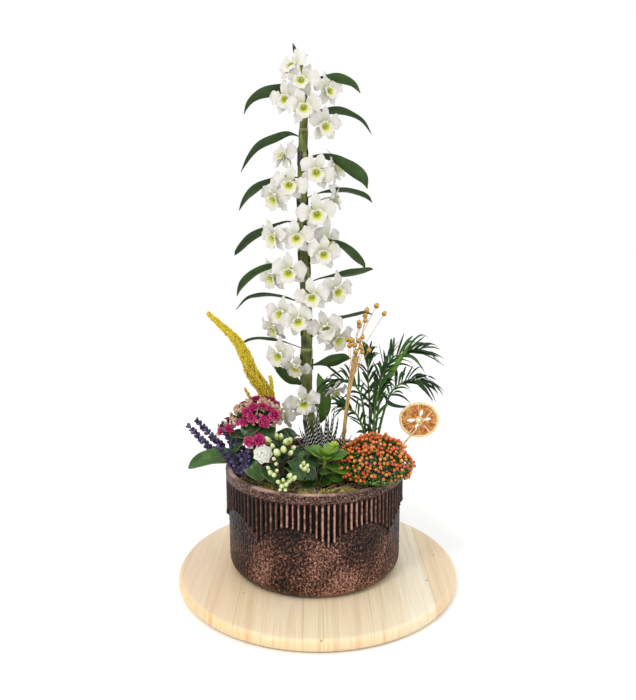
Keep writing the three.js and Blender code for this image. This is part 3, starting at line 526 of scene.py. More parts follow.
angle = np.linspace(0, 2 * np.pi, 150, endpoint=False)
low_rings = [(INSIDE - 14, POT_FLOOR + 0.5), (SOIL_RADIUS, 26), (SOIL_RADIUS, 140)]
radius = np.array([r for r, _ in low_rings] + [SOIL_RADIUS * s for s in np.linspace(1, 0.03, 44)])
points = round_about(POT_MIDDLE, radius[:, None], angle, 0.0)
points[:3, :, 2] = np.array([z for _, z in low_rings])[:, None] + POT_BASE
flat = points[3:, :, :2]
lumps = 1.3 * wobble(flat, 14, 21) + 0.9 * wobble(flat, 5, 22, 30) - 1.2
points[3:, :, 2] = SOIL_TOP + np.clip(lumps, -4, 3)
soil = Surfaces()
soil.rings(points, [(*POT_MIDDLE, POT_BASE + POT_FLOOR + 0.5), (*POT_MIDDLE, SOIL_TOP - 1)])
draw = np.random.default_rng(31)
for _ in range(BARK_CHIPS):
    spot = heading(draw.uniform(0, 360)) * SCATTER * math.sqrt(draw.uniform(0.02, 1)) + (*POT_MIDDLE, 0)
    length = draw.uniform(*CHIP_LONG)
    way = heading(draw.uniform(0, 360), draw.uniform(-20, 20))
    middle = spot + (0, 0, SOIL_TOP + draw.uniform(-0.5, 2.5))
    path = middle + way * np.linspace(-0.5, 0.5, 5)[:, None] * length
    path[:, 2] += draw.normal(0, 0.3, 5)
    radii = draw.uniform(*CHIP_RADIUS) * np.array([0.35, 0.9, 1.0, 0.85, 0.4])
    soil.tube(path, radii, 5, chance=draw.uniform(), flat=draw.uniform(0.35, 0.6), skin=1)
for _ in range(COIR_FIBRES):
    at = draw.uniform(-150, -20) if draw.uniform() < 0.7 else draw.uniform(0, 360)
    spot = heading(at) * draw.uniform(70, SCATTER) + (*POT_MIDDLE, SOIL_TOP + draw.uniform(0.5, 3))
    way = heading(draw.uniform(0, 360)) * draw.uniform(*FIBRE_HALF)
    rise = np.array([0, 0, draw.uniform(1, 7)])
    bow = heading(draw.uniform(0, 360)) * draw.uniform(1, 5)
    path = through([spot - way, spot + rise + bow, spot + way], 8)
    off = path[:, :2] - POT_MIDDLE
    path[:, :2] = POT_MIDDLE + off * np.minimum(1, 126 / np.linalg.norm(off, axis=1, keepdims=True))
    soil.tube(path, draw.uniform(*FIBRE_RADIUS), 4, chance=draw.uniform(), skin=2)


def patterned(name, scale, detail, stops, roughness, bump=None, shift=None):
    """A plain material: one noise, drawn out into streaks if its scale has three parts, through a ramp of
    colours. shift is a mark that moves the shade, and bump how strongly and how far the noise stands."""
    material, at = new_material(name), "place"
    if np.ndim(scale):
        at, scale = add_node("Mapping", "place", Scale=scale), 1
    noise = shade = add_node("TexNoise", at, Scale=scale, Detail=detail)
    if shift:
        shade = add_node("Math ADD", noise, shift)
    shader = add_node("BsdfPrincipled", add_node("ValToRGB", shade, stops=stops), Roughness=roughness)
    if bump:
        normal = add_node("Bump", Height=noise, Strength=bump[0], Distance=bump[1])
        tree.links.new(normal.outputs[0], shader.inputs["Normal"])
    return material


# Peat: almost black and crumbly, with no shine. Grain of 1 to 3 mm.
PEAT = {0.35: "#150e0a", 0.55: "#2c1f16", 0.75: "#57402c"}
peat = patterned("moist_peat", 420, 4, PEAT, 0.95, (0.9, 0.0015))
# Pine bark, chipped: red-brown flakes with a fibrous break, dull.
BARK = {0.3: "#2c1a12", 0.65: "#5b3a26", 1: "#8f6747"}
bark = patterned("chipped_pine_bark", 300, 3, BARK, 0.85, (0.7, 0.0008), "chance")
# Coir fibre: dry strands, tan to grey-brown.
COIR = {0.3: "#4f3a26", 0.7: "#9a7c55", 1: "#c7b08a"}
coir = patterned("dry_coir_fibre", 150, 2, COIR, 0.8, shift="chance")
make_piece("potting_mix", soil, [peat, bark, coir], "potting_soil")


# ---- the moss ----
# Dry yellow-green cushion moss, laid in a curved strip along the inside of the front of the rim. Each
# sprig is a short stem set with pointed leaflets.
MOSS_FROM, MOSS_TO = -150, -62
MOSS_INNER, MOSS_OUTER = 96, 126
SPRIGS, SPRIG_LONG, SPRIG_WIDE = 1500, (3.0, 7.5), 1.1
LEAFLETS, LEAFLET_LONG, LEAFLET_WIDE = 6, (1.5, 3.2), 1.2
rows = np.linspace(0, 1, 9)[:, None]
arc = np.radians(np.linspace(MOSS_FROM, MOSS_TO, 46))
bed = round_about(POT_MIDDLE, mixed(MOSS_INNER, MOSS_OUTER, rows), arc, 0.0)
hump = np.sin(mixed(0.15, np.pi - 0.15, rows))
bed[:, :, 2] = SOIL_TOP - 1.0 + 2.0 * hump + 1.8 * wobble(bed[:, :, :2], 11, 42)
moss = Surfaces()
moss.shell(bed, 3.0, tones=(0.0, 0.0))
draw = np.random.default_rng(41)
at = draw.uniform(MOSS_FROM, MOSS_TO, SPRIGS)
reach = MOSS_INNER + (MOSS_OUTER - MOSS_INNER) * draw.uniform(0.0, 1, SPRIGS) ** 0.45
feet = heading(at) * reach[:, None] + (*POT_MIDDLE, SOIL_TOP + 1.5)
ways = heading(draw.uniform(0, 360, SPRIGS), draw.uniform(25, 85, SPRIGS))
lengths = draw.uniform(*SPRIG_LONG, SPRIGS) * (0.5 + 0.5 * (reach > 112))
patchy = wobble(feet[:, :2], 13, 43) > -0.25
feet, ways, lengths = feet[patchy], ways[patchy], lengths[patchy]
count = len(feet)
chance = draw.uniform(0, 1, count)
sides = heading(draw.uniform(0, 360, count))
moss.darts(feet, feet + ways * lengths[:, None], sides, SPRIG_WIDE, 0.8, chance, 0.6)
for step in range(LEAFLETS):
    start = feet + ways * (lengths * (0.2 + 0.75 * step / LEAFLETS))[:, None]
    out = ways * 0.6 + heading(draw.uniform(0, 360, count), draw.uniform(-20, 40, count))
    ends = start + out * draw.uniform(*LEAFLET_LONG, count)[:, None]
    moss.darts(start, ends, np.cross(out, ways) + 1e-3, LEAFLET_WIDE, 0.5, chance, step / LEAFLETS)

# Cushion moss, dried: olive at the bottom to straw yellow at the tips, dull and soft.
dry_moss = new_material("dried_cushion_moss")
shade = add_node("Math MULTIPLY", "tone", 0.55)
shade = add_node("Math ADD", shade, add_node("Math MULTIPLY", "chance", 0.45))
DRY_MOSS = {0.05: "#39310f", 0.3: "#6f6626", 0.55: "#a89a3a", 0.8: "#cdbc58", 1: "#e8d98a"}
add_node("BsdfPrincipled", add_node("ValToRGB", shade, stops=DRY_MOSS), Roughness=0.9, Sheen_Weight=0.2)
make_piece("moss_strip", moss, [dry_moss], "moss_mat")


# ---- the orchid's cane ----
# One upright jointed stem, ribbed lengthwise, with a pale ring at each node and the dark papery rests of
# old leaf sheaths wrapped round it in places.
CANE_Y = 50
# The cane at a few heights: its height, its X and its radius.
CANE = [(157, -1, 10.2), (225, -12, 9.84), (290, -19, 9.6), (400, -17, 9.12)]
CANE += [(540, -23, 8.16), (620, -24, 7.44), (740, -20, 6.0), (795, -27, 3.0)]
NODES = np.array([205, 243, 280, 317, 355, 398, 441, 484, 529, 574, 614, 655, 692, 730, 765])
# Each old sheath: its foot, its top, the azimuth where it gapes and how wide the gap is.
SHEATHS = [(640, 664, -60, 60), (571, 592, -80, 90), (533, 556, -110, 50), (474, 512, -88, 110)]
SHEATHS += [(377, 400, -85, 120), (320, 346, -60, 150), (213, 238, -40, 120)]


def cane_at(height):
    """The X of the cane at a height, and its radius there."""
    heights, *parts = np.transpose(CANE)
    return [np.interp(height, heights, part) for part in parts]


turn = np.linspace(0, 2 * np.pi, 36, endpoint=False)
heights = np.linspace(CANE[0][0], CANE[-1][0], 300)[:, None]
middle_x, plain = cane_at(heights)
middle_x = np.convolve(np.pad(middle_x[:, 0], 12, "edge"), np.ones(25) / 25, "valid")[:, None]
ring, swell, waist = (
    np.exp(-(((heights - NODES + off) / wide) ** 2)).sum(1, keepdims=True)
    for off, wide in [(0, 1.7), (7, 9), (-5, 6)]
)
ribs = 0.16 * np.cos(turn * 11 + 0.4 * np.sin(heights / 23)) + 0.12 * np.cos(turn * 7 + 1.3)
radius = plain + 0.55 * ring + 0.5 * swell - 0.5 * waist + ribs * (1 - 0.6 * ring)
points = round_about((middle_x, CANE_Y), radius, turn, heights)
cane = Surfaces()
caps = [points[0].mean(0), points[-1].mean(0) + (0, 0, 1.5)]
cane.rings(points, caps, across=np.tile(np.sin(turn), 300), tone=np.repeat(ring, 36))
draw = np.random.default_rng(51)
for low, high, gape, gap in SHEATHS:
    spread = np.radians(np.linspace(gape + gap / 2, gape + 360 - gap / 2, 33))
    off_middle = np.abs(np.linspace(-1, 1, 33))
    tall = np.linspace(0, 1, 12)[:, None]
    ragged = high + 3 * np.sin(spread * 3 + draw.uniform(0, 6)) + draw.normal(0, 1.2, 33) - 6 * off_middle**3
    height = mixed(low, ragged, tall)
    x, plain = cane_at(height)
    reach = plain + 0.75 + 0.5 * tall**2 + 0.25 * np.sin(spread * 9) + 1.1 * off_middle**8
    cane.shell(round_about((x, CANE_Y), reach, spread, height)[:, ::-1], 0.5, chance=draw.uniform(), skin=1)

# Orchid cane: living green skin with fine lengthwise streaks 0.7 mm apart, waxy, paler yellow at the nodes.
cane_skin = new_material("living_cane_skin")
streak = add_node("TexNoise", add_node("Mapping", "place", Scale=(900, 900, 28)), Scale=1, Detail=3)
shade = add_node("Math ADD", streak, add_node("TexNoise", "place", Scale=48, Detail=3))
shade = add_node("Math MULTIPLY", shade, 0.5)
OLIVES = {0.36: "#1f280e", 0.46: "#465020", 0.54: "#6b7530", 0.64: "#a2a758"}
colour = add_node("ValToRGB", shade, stops=OLIVES)
colour = add_node("MixRGB", add_node("Math MULTIPLY", "tone", 0.75), colour, "#b9b67c")
bump = add_node("Bump", Height=streak, Strength=0.35, Distance=0.0004)
add_node("BsdfPrincipled", colour, Roughness=0.45, IOR=1.45, Normal=bump)
# Old leaf sheath: dried, papery and nearly black-brown, with paler frayed lines along it.
SHEATH = {0.4: "#0f0b08", 0.56: "#2a2016", 0.75: "#6d5b43"}
sheath_paper = patterned("dried_leaf_sheath", (700, 700, 60), 4, SHEATH, 0.6, (0.6, 0.0005))
make_piece("cane", cane, [cane_skin, sheath_paper], "orchid_cane")


# ---- the orchid's leaves ----
# Sixteen strap leaves, one at each node to the left and right by turns, a broad young one low down at the
# front and one small one at the tip. They are leathery, arched, and folded a little along the midrib.
LEAF_THICK = 1.1
UP = np.array([0.0, 0.0, 1.0])
# Each leaf: the height of its base, its azimuth, how far out and up its line passes from the base, its width,
# where it is widest, how far it rolls to the front in degrees, and how young and bright it is.
LEAVES = {
    "left_1": (752, 190, [(22, 0), (44, -5), (67, -12), (81, -23), (90, -40)], 17.5, 0.45, 62, 0.12),
    "left_2": (680, 175, [(22, 6), (45, -1), (68, -11), (82, -25), (97, -49)], 15, 0.42, 52, 0.1),
    "left_3": (621, 195, [(36, 0), (49, -6), (67, -15), (84, -29), (98, -50)], 16.5, 0.74, 44, 0.1),
    "left_4": (549, 170, [(22, 6), (42, 1), (65, -9), (85, -20), (111, -46)], 15.5, 0.8, 46, 0.12),
    "left_5": (473, 190, [(24, 11), (45, 14), (65, 10), (83, 0), (97, -13), (107, -32)], 16.5, 0.74, 52, 0.2),
    "left_6": (429, 175, [(17, 3), (35, 8), (57, 11), (79, 10), (94, 6), (113, -12)], 14.5, 0.5, 30, 0.1),
    "left_7": (353, 185, [(17, 7), (35, 13), (57, 17), (79, 19), (93, 16), (105, 9)], 15.5, 0.78, 26, 0.15),
    "left_8": (291, 200, [(10, 6), (26, 17), (41, 29), (52, 39)], 21, 0.55, 66, 0.35),
    "right_1": (758, -10, [(24, 5), (49, 7), (64, 3), (76, -3), (87, -16)], 14, 0.62, -62, 0.2),
    "right_2": (705, 10, [(14, 11), (29, 14), (55, 16), (73, 12), (91, 3), (106, -16)],
                13.5, 0.42, -44, 0.08),
    "right_3": (648, -15, [(25, 4), (51, -1), (67, -10), (81, -19), (93, -29), (101, -45)],
                21, 0.76, -66, 0.15),
    "right_4": (588, 15, [(25, 10), (50, 14), (69, 15), (88, 12), (103, 7), (114, -2)], 14.5, 0.7, -30, 0.1),
    "right_5": (519, -12, [(28, 5), (57, 1), (71, -8), (84, -20), (93, -29), (97, -38)], 17, 0.78, -54, 0.15),
    "right_6": (457, 12, [(18, 8), (37, 12), (65, 16), (84, 18), (99, 21), (111, 24)], 19, 0.82, -40, 0.2),
    "right_7": (386, 10, [(22, 9), (44, 15), (62, 18), (81, 22), (95, 25), (108, 22)], 16.5, 0.62, -30, 0.12),
    "right_8": (327, -15, [(14, 2), (27, 5), (45, 10), (62, 16), (73, 16)], 22, 0.68, -62, 0.22),
    "low": (230, -40, [(14, 2), (26, 18), (29, 44), (25, 68), (17, 88)], 25, 0.55, -42, 0.8),
    "tip": (780, 180, [(4, 12), (9, 26), (12, 36)], 11, 0.4, 70, 0.2),
}


def outline(stops, shares):
    """A smooth value through (share, value) stops, such as the half width of a leaf or petal."""
    x, y = np.array(stops, float).T
    slope = np.gradient(y, x)
    i = np.clip(np.searchsorted(x, shares) - 1, 0, len(x) - 2)
    gap = x[i + 1] - x[i]
    start, leave, end, reach = bends((shares - x[i]) / gap)
    return start * y[i] + end * y[i + 1] + (leave * slope[i] + reach * slope[i + 1]) * gap


def strap(peak, shares):
    """The outline of a leaf that is widest at the peak, thin at its foot and drawn out to a point."""
    ahead = 1 - peak
    stops = [(0, 0.26), (0.06, 0.3), (0.5 * peak, 0.66), (peak, 1.0)]
    stops += [(1 - 0.5 * ahead, 0.42 + 0.5 * peak), (1 - 0.2 * ahead, 0.1 + 0.6 * peak), (1, 0.05)]
    return outline(stops, shares)


def turned_about(vector, axis, degrees):
    """A vector turned about an axis, by one angle or by several."""
    axis, a = unit(axis), np.radians(degrees)[..., None]
    ahead = axis * np.dot(axis, vector)
    return vector * np.cos(a) + np.cross(axis, vector) * np.sin(a) + ahead * (1 - np.cos(a))


def read_off(rows, places, at):
    """What rows of numbers that stand at some places come to at other places."""
    return np.stack([np.interp(at, places, part) for part in np.transpose(rows)], axis=-1)


def blade(surfaces, line, side, half, thick, fold=0.2, wave=0.0, columns=9, chance=0.0, **given):
    """A leaf along a line. side is the way across it, half its half width at each point, fold the share of
    that by which its edges rise, and wave how far they ripple."""
    along = unit(np.gradient(line, axis=0))
    side = unit(side - along * np.sum(side * along, 1, keepdims=True))
    half, share = half[:, None], np.linspace(-1, 1, columns)
    ripple = np.linspace(0, 1, len(line))[:, None] * 13 + np.sign(share) * 1.7 + chance * 40
    lift = half * fold * np.abs(share) ** 1.2 + wave * share**2 * np.sin(ripple) * half / half.max()
    across, face = side[:, None] * (half * share)[:, :, None], np.cross(along, side)[:, None]
    surfaces.shell(line[:, None] + across + face * lift[:, :, None], thick, chance=chance, **given)


def on_cane(height):
    """The middle of the cane at a height."""
    return np.array([cane_at(height)[0], CANE_Y, height])


# Leathery orchid leaf: deep green with a waxy gloss that shows the sky, a paler midrib, fine lines 0.9 mm
# apart that run the length of it, and a paler, duller back.
orchid_leaf = new_material("waxy_orchid_leaf")
blotch = add_node("TexNoise", "place", Scale=60, Detail=3)
lines = add_node("Math SINE", add_node("Math MULTIPLY", "across", 70))
deep = add_node("ValToRGB", blotch, stops={0.3: "#050d04", 0.5: "#0b1908", 0.7: "#162d10"})
bright = add_node("ValToRGB", blotch, stops={0.3: "#3f6318", 0.5: "#587d22", 0.7: "#759a35"})
colour = add_node("MixRGB", "chance", deep, bright)
midrib = add_node("MapRange", add_node("Math ABSOLUTE", "across"), 0.02, 0.1, 0.3, 0)
colour = add_node("MixRGB", midrib, colour, "#3f5d25")
colour = add_node("MixRGB", add_node("Math MULTIPLY", "tone", 0.4), colour, "#3d5a2b")
bump = add_node("Bump", Height=add_node("Math ADD", lines, blotch), Strength=0.25, Distance=0.0002)
gloss = add_node("MapRange", "tone", 0, 1, 0.22, 0.5)
add_node("BsdfPrincipled", colour, Roughness=gloss, IOR=1.45, Specular_IOR_Level=0.35, Normal=bump)

shares = np.linspace(0, 1, 40)
for name, (height, azimuth, passes, width, peak, roll, youth) in LEAVES.items():
    base = on_cane(height)
    line = through([base, *[base + heading(azimuth) * far + UP * up for far, up in passes]], 200)
    run = np.append(0, np.cumsum(np.linalg.norm(np.diff(line, axis=0), axis=1)))
    line = read_off(line, run, shares * run[-1])
    twist = roll * (0.15 + 0.85 * smooth_step(shares, 0.02, 0.75 * peak))
    twist *= 1 - 0.35 * smooth_step(shares, 0.85, 1)
    side = turned_about(heading(azimuth + 90), line[-1] - line[0], twist)
    leaf = Surfaces()
    blade(leaf, line, side, width / 2 * strap(peak, shares), LEAF_THICK, fold=0.26, wave=0.8, chance=youth)
    make_piece("leaf_" + name, leaf, [orchid_leaf], "orchid_leaf_" + name)


# ---- the orchid's flowers ----
# Short sprays of two or three flowers break from the upper nodes. A flower has three narrow sepals behind
# two broad ruffled petals, and a lip rolled into a trumpet under the white column, green-yellow inside.
# Each flower of a spray: the height and the azimuth of its heart, how far out it is, the azimuth and the
# climb that it faces, and its size.
SPRAYS = [
    [(779, -118, 24, -125, 22, 0.95), (758, -92, 30, -90, 5, 0.95)],
    [(733, -138, 36, -115, 0, 0.95), (719, -90, 38, -88, -5, 1)],
    [(747, -18, 38, -52, 8, 0.95), (696, -33, 38, -65, -5, 1)],
    [(657, 150, 34, -145, 25, 1), (610, -120, 36, -95, 0, 1), (591, -155, 46, -132, -22, 1.05)],
    [(628, -54, 38, -85, 0, 1.05), (637, 0, 50, -22, 10, 1.05)],
    [(567, -57, 40, -88, 0, 1.1), (591, 0, 50, -12, -5, 1)],
    [(532, -104, 38, -92, 0, 1), (533, -157, 48, -138, -15, 1.05)],
    [(527, -17, 38, -55, 5, 1), (508, -48, 46, -80, -5, 1)],
    [(480, -129, 38, -95, 0, 1.05), (471, 180, 52, -135, -18, 1.05)],
    [(443, -76, 40, -90, 0, 1), (450, -12, 50, -58, -5, 1.1)],
    [(406, -110, 40, -90, 0, 1), (415, -152, 44, -122, 5, 1), (389, 180, 52, -140, -25, 1)],
    [(392, -42, 40, -85, 0, 1.05), (376, -23, 52, -52, -18, 1.1)],
    [(348, -158, 46, -120, 5, 1.05), (332, -116, 36, -100, -40, 0.9)],
    [(276, -97, 38, -90, 0, 1), (256, -145, 48, -140, 0, 1)],
]
SEPAL = [(0, 0.42), (0.15, 0.72), (0.4, 1.0), (0.62, 0.9), (0.82, 0.55), (0.95, 0.2), (1, 0.05)]
PETAL = [(0, 0.3), (0.14, 0.52), (0.36, 0.88), (0.6, 1.0), (0.8, 0.84), (0.93, 0.48), (1, 0.12)]
# The sepals and petals: their angles in the flower's face, their length and width, how far forward their
# foot is, their forward lift, their backward curl at the tip, their ruffle and their outline.
TEPALS = [
    ([90], 28.5, 15.0, -2.2, 1.5, 1.0, 1.6, SEPAL),
    ([-50, -130], 26, 15.5, -2.4, 1.0, 2.5, 1.2, SEPAL),
    ([16, 164], 28, 24.0, -1.0, 3.0, 2.0, 3.4, PETAL),
]
PETAL_THICK, LIP_THICK, STALK_RADIUS = 0.55, 0.5, 1.25
PETAL_FOOT = 4.6  # how far from the heart a petal begins, outside the throat
THROAT_RADII = [(0, 1.6), (0.2, 3.8), (0.42, 5.4), (0.62, 6.5), (0.8, 8.8), (1, 11.4)]
THROAT_DEPTHS = [(0, -1.5), (0.2, -0.6), (0.42, 2.2), (0.62, 5.2), (0.8, 7.0), (1, 7.6)]
PETAL_SKIN, LIP_SKIN, STALK_SKIN = 0, 1, 2


def spray_foot(surfaces, blooms):
    """The short knuckled stem of a spray in its papery bracts, from the cane to the joint that it returns."""
    height = np.mean([bloom[0] for bloom in blooms]) - 8
    out = unit(sum(heading(bloom[1]) for bloom in blooms))
    middle, radius = on_cane(height), cane_at(height)[1]
    foot, joint = middle + out * (radius - 1), middle + out * (radius + 4) + UP * 3
    path = through([foot - (joint - foot) * 0.3, foot, joint], 8)
    surfaces.tube(path, [2.6, 2.8, 2.4, 2.2, 2.3, 2.6, 2.2, 1.2], 9, tone=1.0, skin=STALK_SKIN)
    return joint


def bloom(surfaces, heart, face, size, joint, draw):
    """One open flower, its heart at a place and its face turned one way, on its stalk from the joint."""
    right = turned_about(unit(np.cross(UP, face)), face, draw.normal(0, 11))
    frame_of_face = np.array([right, np.cross(face, right), face])

    def spot(x, y, z):
        """A point of the flower: to its right, up it, and out along its face."""
        return heart + size * np.stack(np.broadcast_arrays(x, y, z), axis=-1) @ frame_of_face

    t, s = np.linspace(0, 1, 15)[:, None], np.linspace(-1, 1, 9)
    for angles, long, width, foot, lift, curl, ruffle, shape in TEPALS:
        for angle in angles:
            a = math.radians(angle + draw.normal(0, 6))
            far = mixed(PETAL_FOOT, long * draw.uniform(0.94, 1.05), t)
            half = width / 2 * draw.uniform(0.93, 1.06) * outline(shape, t)
            front = foot + lift * np.sin(np.pi * t * 0.85) - (curl + draw.normal(0, 2.6)) * t**2
            front = front + 0.16 * np.abs(s) * (1 - t) * half
            front = front - 0.35 * np.exp(-((s / 0.16) ** 2)) * (1 - t) ** 0.5
            waves = np.sin(t * draw.uniform(8, 12) + draw.uniform(0, 6) + 1.9 * np.sign(s))
            front = front + ruffle * s**2 * waves * np.minimum(1, 2 * t)
            side = half * s + 0.35 * ruffle * np.sign(s) * s**2 * np.sin(t * 15 + draw.uniform(0, 6))
            x, y = far * math.cos(a) - side * math.sin(a), far * math.sin(a) + side * math.cos(a)
            surfaces.shell(spot(x, y, front), PETAL_THICK * size, chance=draw.uniform(), skin=PETAL_SKIN)

    u = np.linspace(0, 2 * np.pi, 32, endpoint=False)
    low, phase = (1 - np.sin(u)) / 2, draw.uniform(0, 6, 4)
    lobes = 0.8 * np.sin(5 * u + phase[0]) + 0.6 * np.sin(9 * u + phase[1])
    frill = 1.3 * np.sin(7 * u + phase[2]) + 0.7 * np.sin(12 * u + phase[3])
    reach = outline(THROAT_RADII, t) * (1 + t**2 * (0.16 * low - 0.2 * (1 - low) ** 3)) + t**3 * lobes
    depth = outline(THROAT_DEPTHS, t) + (2.6 * low - 2.0 * (1 - low)) * t**2 + t**4 * frill
    trumpet = spot(reach * np.cos(u), reach * np.sin(u) * 0.97 - 1.0 - 3.2 * t, depth)
    surfaces.shell(trumpet, LIP_THICK * size, wrap=True, chance=draw.uniform(), skin=LIP_SKIN)
    column = spot(0, [3.2, 3.0, 2.5, 1.7, 1.0], [3.0, 2.0, 0.8, -0.4, -1.5])
    surfaces.tube(column, np.array([0.3, 1.0, 1.3, 1.5, 1.5]) * size, 10, skin=LIP_SKIN)
    spur = spot(0, [-1, -2.5, -4.5, -6.5], [-2.6, -4.6, -6.6, -7.6])
    surfaces.tube(spur, np.array([3.0, 3.0, 2.2, 0.7]) * size, 10, tone=1.0, skin=LIP_SKIN)
    back = heart - 9 * size * face
    stalk = through([joint, (joint + back) / 2 + UP * 4, back, heart - 2 * size * face], 16)
    fat = STALK_RADIUS * (1 + 0.5 * smooth_step(np.linspace(0, 1, 16), 0.6, 0.95))
    surfaces.tube(stalk, fat, 8, chance=draw.uniform(), skin=STALK_SKIN)


# Orchid petal: a thin crystalline white sheet, cream towards the heart, with a faint green keel and veins
# 1.3 mm apart. Its back is painted greyer, as shade, and light comes through it a little.
petal = new_material("white_orchid_petal")
colour = add_node("MixRGB", add_node("MapRange", "along", 0, 0.5, 0.75, 0), "#dbd8d2", "#c6c99e")
keel = add_node("MapRange", add_node("Math ABSOLUTE", "across"), 0, 0.16, 0.4, 0)
keel = add_node("Math MULTIPLY", keel, add_node("MapRange", "along", 0.2, 0.95, 1, 0.1))
colour = add_node("MixRGB", keel, colour, "#cdd79a")
# Painted shade: the back of every petal, tone 1, is mixed towards grey-lilac.
colour = add_node("MixRGB", add_node("Math MULTIPLY", "tone", 0.55), colour, "#aeadb3")
veins = add_node("Math SINE", add_node("Math MULTIPLY", "across", 30))
height = add_node("Math ADD", veins, add_node("TexNoise", "place", Scale=500, Detail=2))
bump = add_node("Bump", Height=height, Strength=0.3, Distance=0.00025)
SHEER = dict(IOR=1.4, Subsurface_Scale=0.0012)
soft = dict(Subsurface_Weight=0.25, Subsurface_Radius=(1.0, 0.95, 0.75), Sheen_Weight=0.15)
add_node("BsdfPrincipled", colour, Roughness=0.5, Normal=bump, **SHEER, **soft)
# The lip: the same sheet, velvety inside, white at the frilled rim, yellow-green down the throat and a
# deeper green at the bottom.
lip = new_material("velvety_orchid_lip")
down = add_node("TexNoise", "place", Scale=260, Detail=3)
depth = add_node("Math ADD", "along", add_node("MapRange", down, 0.3, 0.7, -0.06, 0.06))
THROAT = {0.04: "#8f981a", 0.2: "#bcc22c", 0.42: "#d3d64e", 0.58: "#d8d898", 0.74: "#dad6ca"}
outer = add_node("ValToRGB", depth, stops={0: "#c9cc86", 0.5: "#cfcdb8", 0.9: "#cfccc6"})
colour = add_node("MixRGB", "tone", add_node("ValToRGB", depth, stops=THROAT), outer)
bump = add_node("Bump", Height=down, Strength=0.35, Distance=0.0004)
soft = dict(Subsurface_Weight=0.2, Subsurface_Radius=(1.0, 1.0, 0.6), Sheen_Weight=0.3)
add_node("BsdfPrincipled", colour, Roughness=0.6, Normal=bump, **SHEER, **soft)
# Flower stalk: smooth pale green, whiter towards the flower; its foot sits in brown papery bracts.
stalk_skin = new_material("pale_flower_stalk")
colour = add_node("ValToRGB", "along", stops={0: "#8d9a52", 0.4: "#c3cb94", 1: "#e9ead8"})
colour = add_node("MixRGB", "tone", colour, "#4d4527")
add_node("BsdfPrincipled", colour, Roughness=0.5, IOR=1.4)

for i, blooms in enumerate(SPRAYS):
    draw = np.random.default_rng(600 + i)
    spray = Surfaces()
    joint = spray_foot(spray, blooms)
    for height, azimuth, out, faces_at, climb, size in blooms:
        bloom(spray, on_cane(height) + heading(azimuth) * out, heading(faces_at, climb), size, joint, draw)
    number = f"{i + 1:02d}"
    make_piece("spray_" + number, spray, [petal, lip, stalk_skin], "orchid_spray_" + number)


# ---- the hanging flower ----
# Below the lowest leaf on the right a late flower, only half open, and a bud nod on thin stalks from the
# cane, like the sprays above. Four folded petals make the bud.
LATE_FLOWER, LATE_SIZE = np.array([27.0, 40.0, 289.0]), 0.82
buds = Surfaces()
draw = np.random.default_rng(71)
joint = spray_foot(buds, [(276, 0), (262, -20)])
bloom(buds, LATE_FLOWER, heading(-52, -42), LATE_SIZE, joint, draw)
tip = on_cane(262) + heading(-20) * 30
line = through([joint, (joint + tip) / 2 + UP * 6, tip], 24)
buds.tube(line[:16], 1.1, 8, skin=STALK_SKIN)
neck, reach = line[14], line[-1] - line[14]
t = np.linspace(0, 1, 14)
bulge = 3.4 * np.sin(np.pi * np.minimum(1, t * 0.93 + 0.05)) ** 0.8
for k in range(4):
    out = turned_about(unit(np.cross(reach, heading(70))), reach, 90 * k + draw.normal(0, 5))
    fold_line = neck + reach * t[:, None] + out * bulge[:, None]
    half, chance = 4.2 * outline(PETAL, t), draw.uniform()
    blade(buds, fold_line, np.cross(out, reach), half, 0.5, fold=-0.35, chance=chance, tones=(1, 0))
heart_line = neck + reach * np.linspace(0.1, 0.85, 6)[:, None]
buds.tube(heart_line, [1.5, 2.6, 3.0, 2.8, 2.2, 0.8], 10, tone=0.3, skin=STALK_SKIN)
make_piece("hanging_buds", buds, [petal, lip, stalk_skin], "orchid_buds")


# ---- the golden plume ----
# A dried yellow flower plume on a thin stalk that leans out to the left, with two short side spikes. Its
# small husks lie towards the tip in strands.
PLUME = [(-62, 12, 157), (-68, 14, 225), (-78, 10, 284), (-102, 7, 327), (-121, 5, 371), (-165, 0, 417)]
PLUME_FROM, PLUME_STRANDS, PLUME_STALK = 0.36, 15, 1.5
HUSKS, HUSK_LONG, HUSK_WIDE, HUSK_THICK = 6800, (2.6, 4.8), (1.2, 2.0), 1.1
# Each side spike: its foot, its tip, its half width and its husks.
SIDE_SPIKES = [((-67, 6, 262), (-73, 6, 318), 6.0, 640), ((-96, 4, 272), (-112, 3, 300), 3.4, 170)]


def around(path, shares, turns):
    """For points along a path: where they are, which way it runs, and which way is out at each turn."""
    steps = np.linspace(0, 1, len(path))
    at, along = read_off(path, steps, shares), unit(read_off(np.gradient(path, axis=0), steps, shares))
    side = unit(np.cross(along, (0.1, 1.0, 0.05)))
    return at, along, side * np.cos(turns)[:, None] + np.cross(along, side) * np.sin(turns)[:, None]


def husked(surfaces, path, width, count):
    """Husks round a path in strands. width gives its half width at a share of the way."""
    share = draw.uniform(0, 1, count) ** 0.9
    strand = draw.integers(0, PLUME_STRANDS, count)
    turn = strand * 2 * np.pi / PLUME_STRANDS + 1.5 * share + draw.normal(0, 0.13, count)
    at, along, out = around(path, share, turn)
    deep = draw.uniform(0, 1, count) ** 0.6
    bulge = 0.85 + 0.15 * np.sin(strand * 2.4 + share * 21)
    feet = at + out * (width(share) * bulge * (0.5 + 0.36 * deep))[:, None]
    way = along * 0.9 + out * draw.uniform(0.1, 0.55, count)[:, None] + draw.normal(0, 0.18, (count, 3))
    heads = feet + way * draw.uniform(*HUSK_LONG, count)[:, None]
    sides, widths = np.cross(way, out), draw.uniform(*HUSK_WIDE, count)
    # Their tone paints husks darker the nearer they sit to the core, as shade.
    surfaces.darts(feet, heads, sides, widths, HUSK_THICK, draw.uniform(0, 1, count), deep)


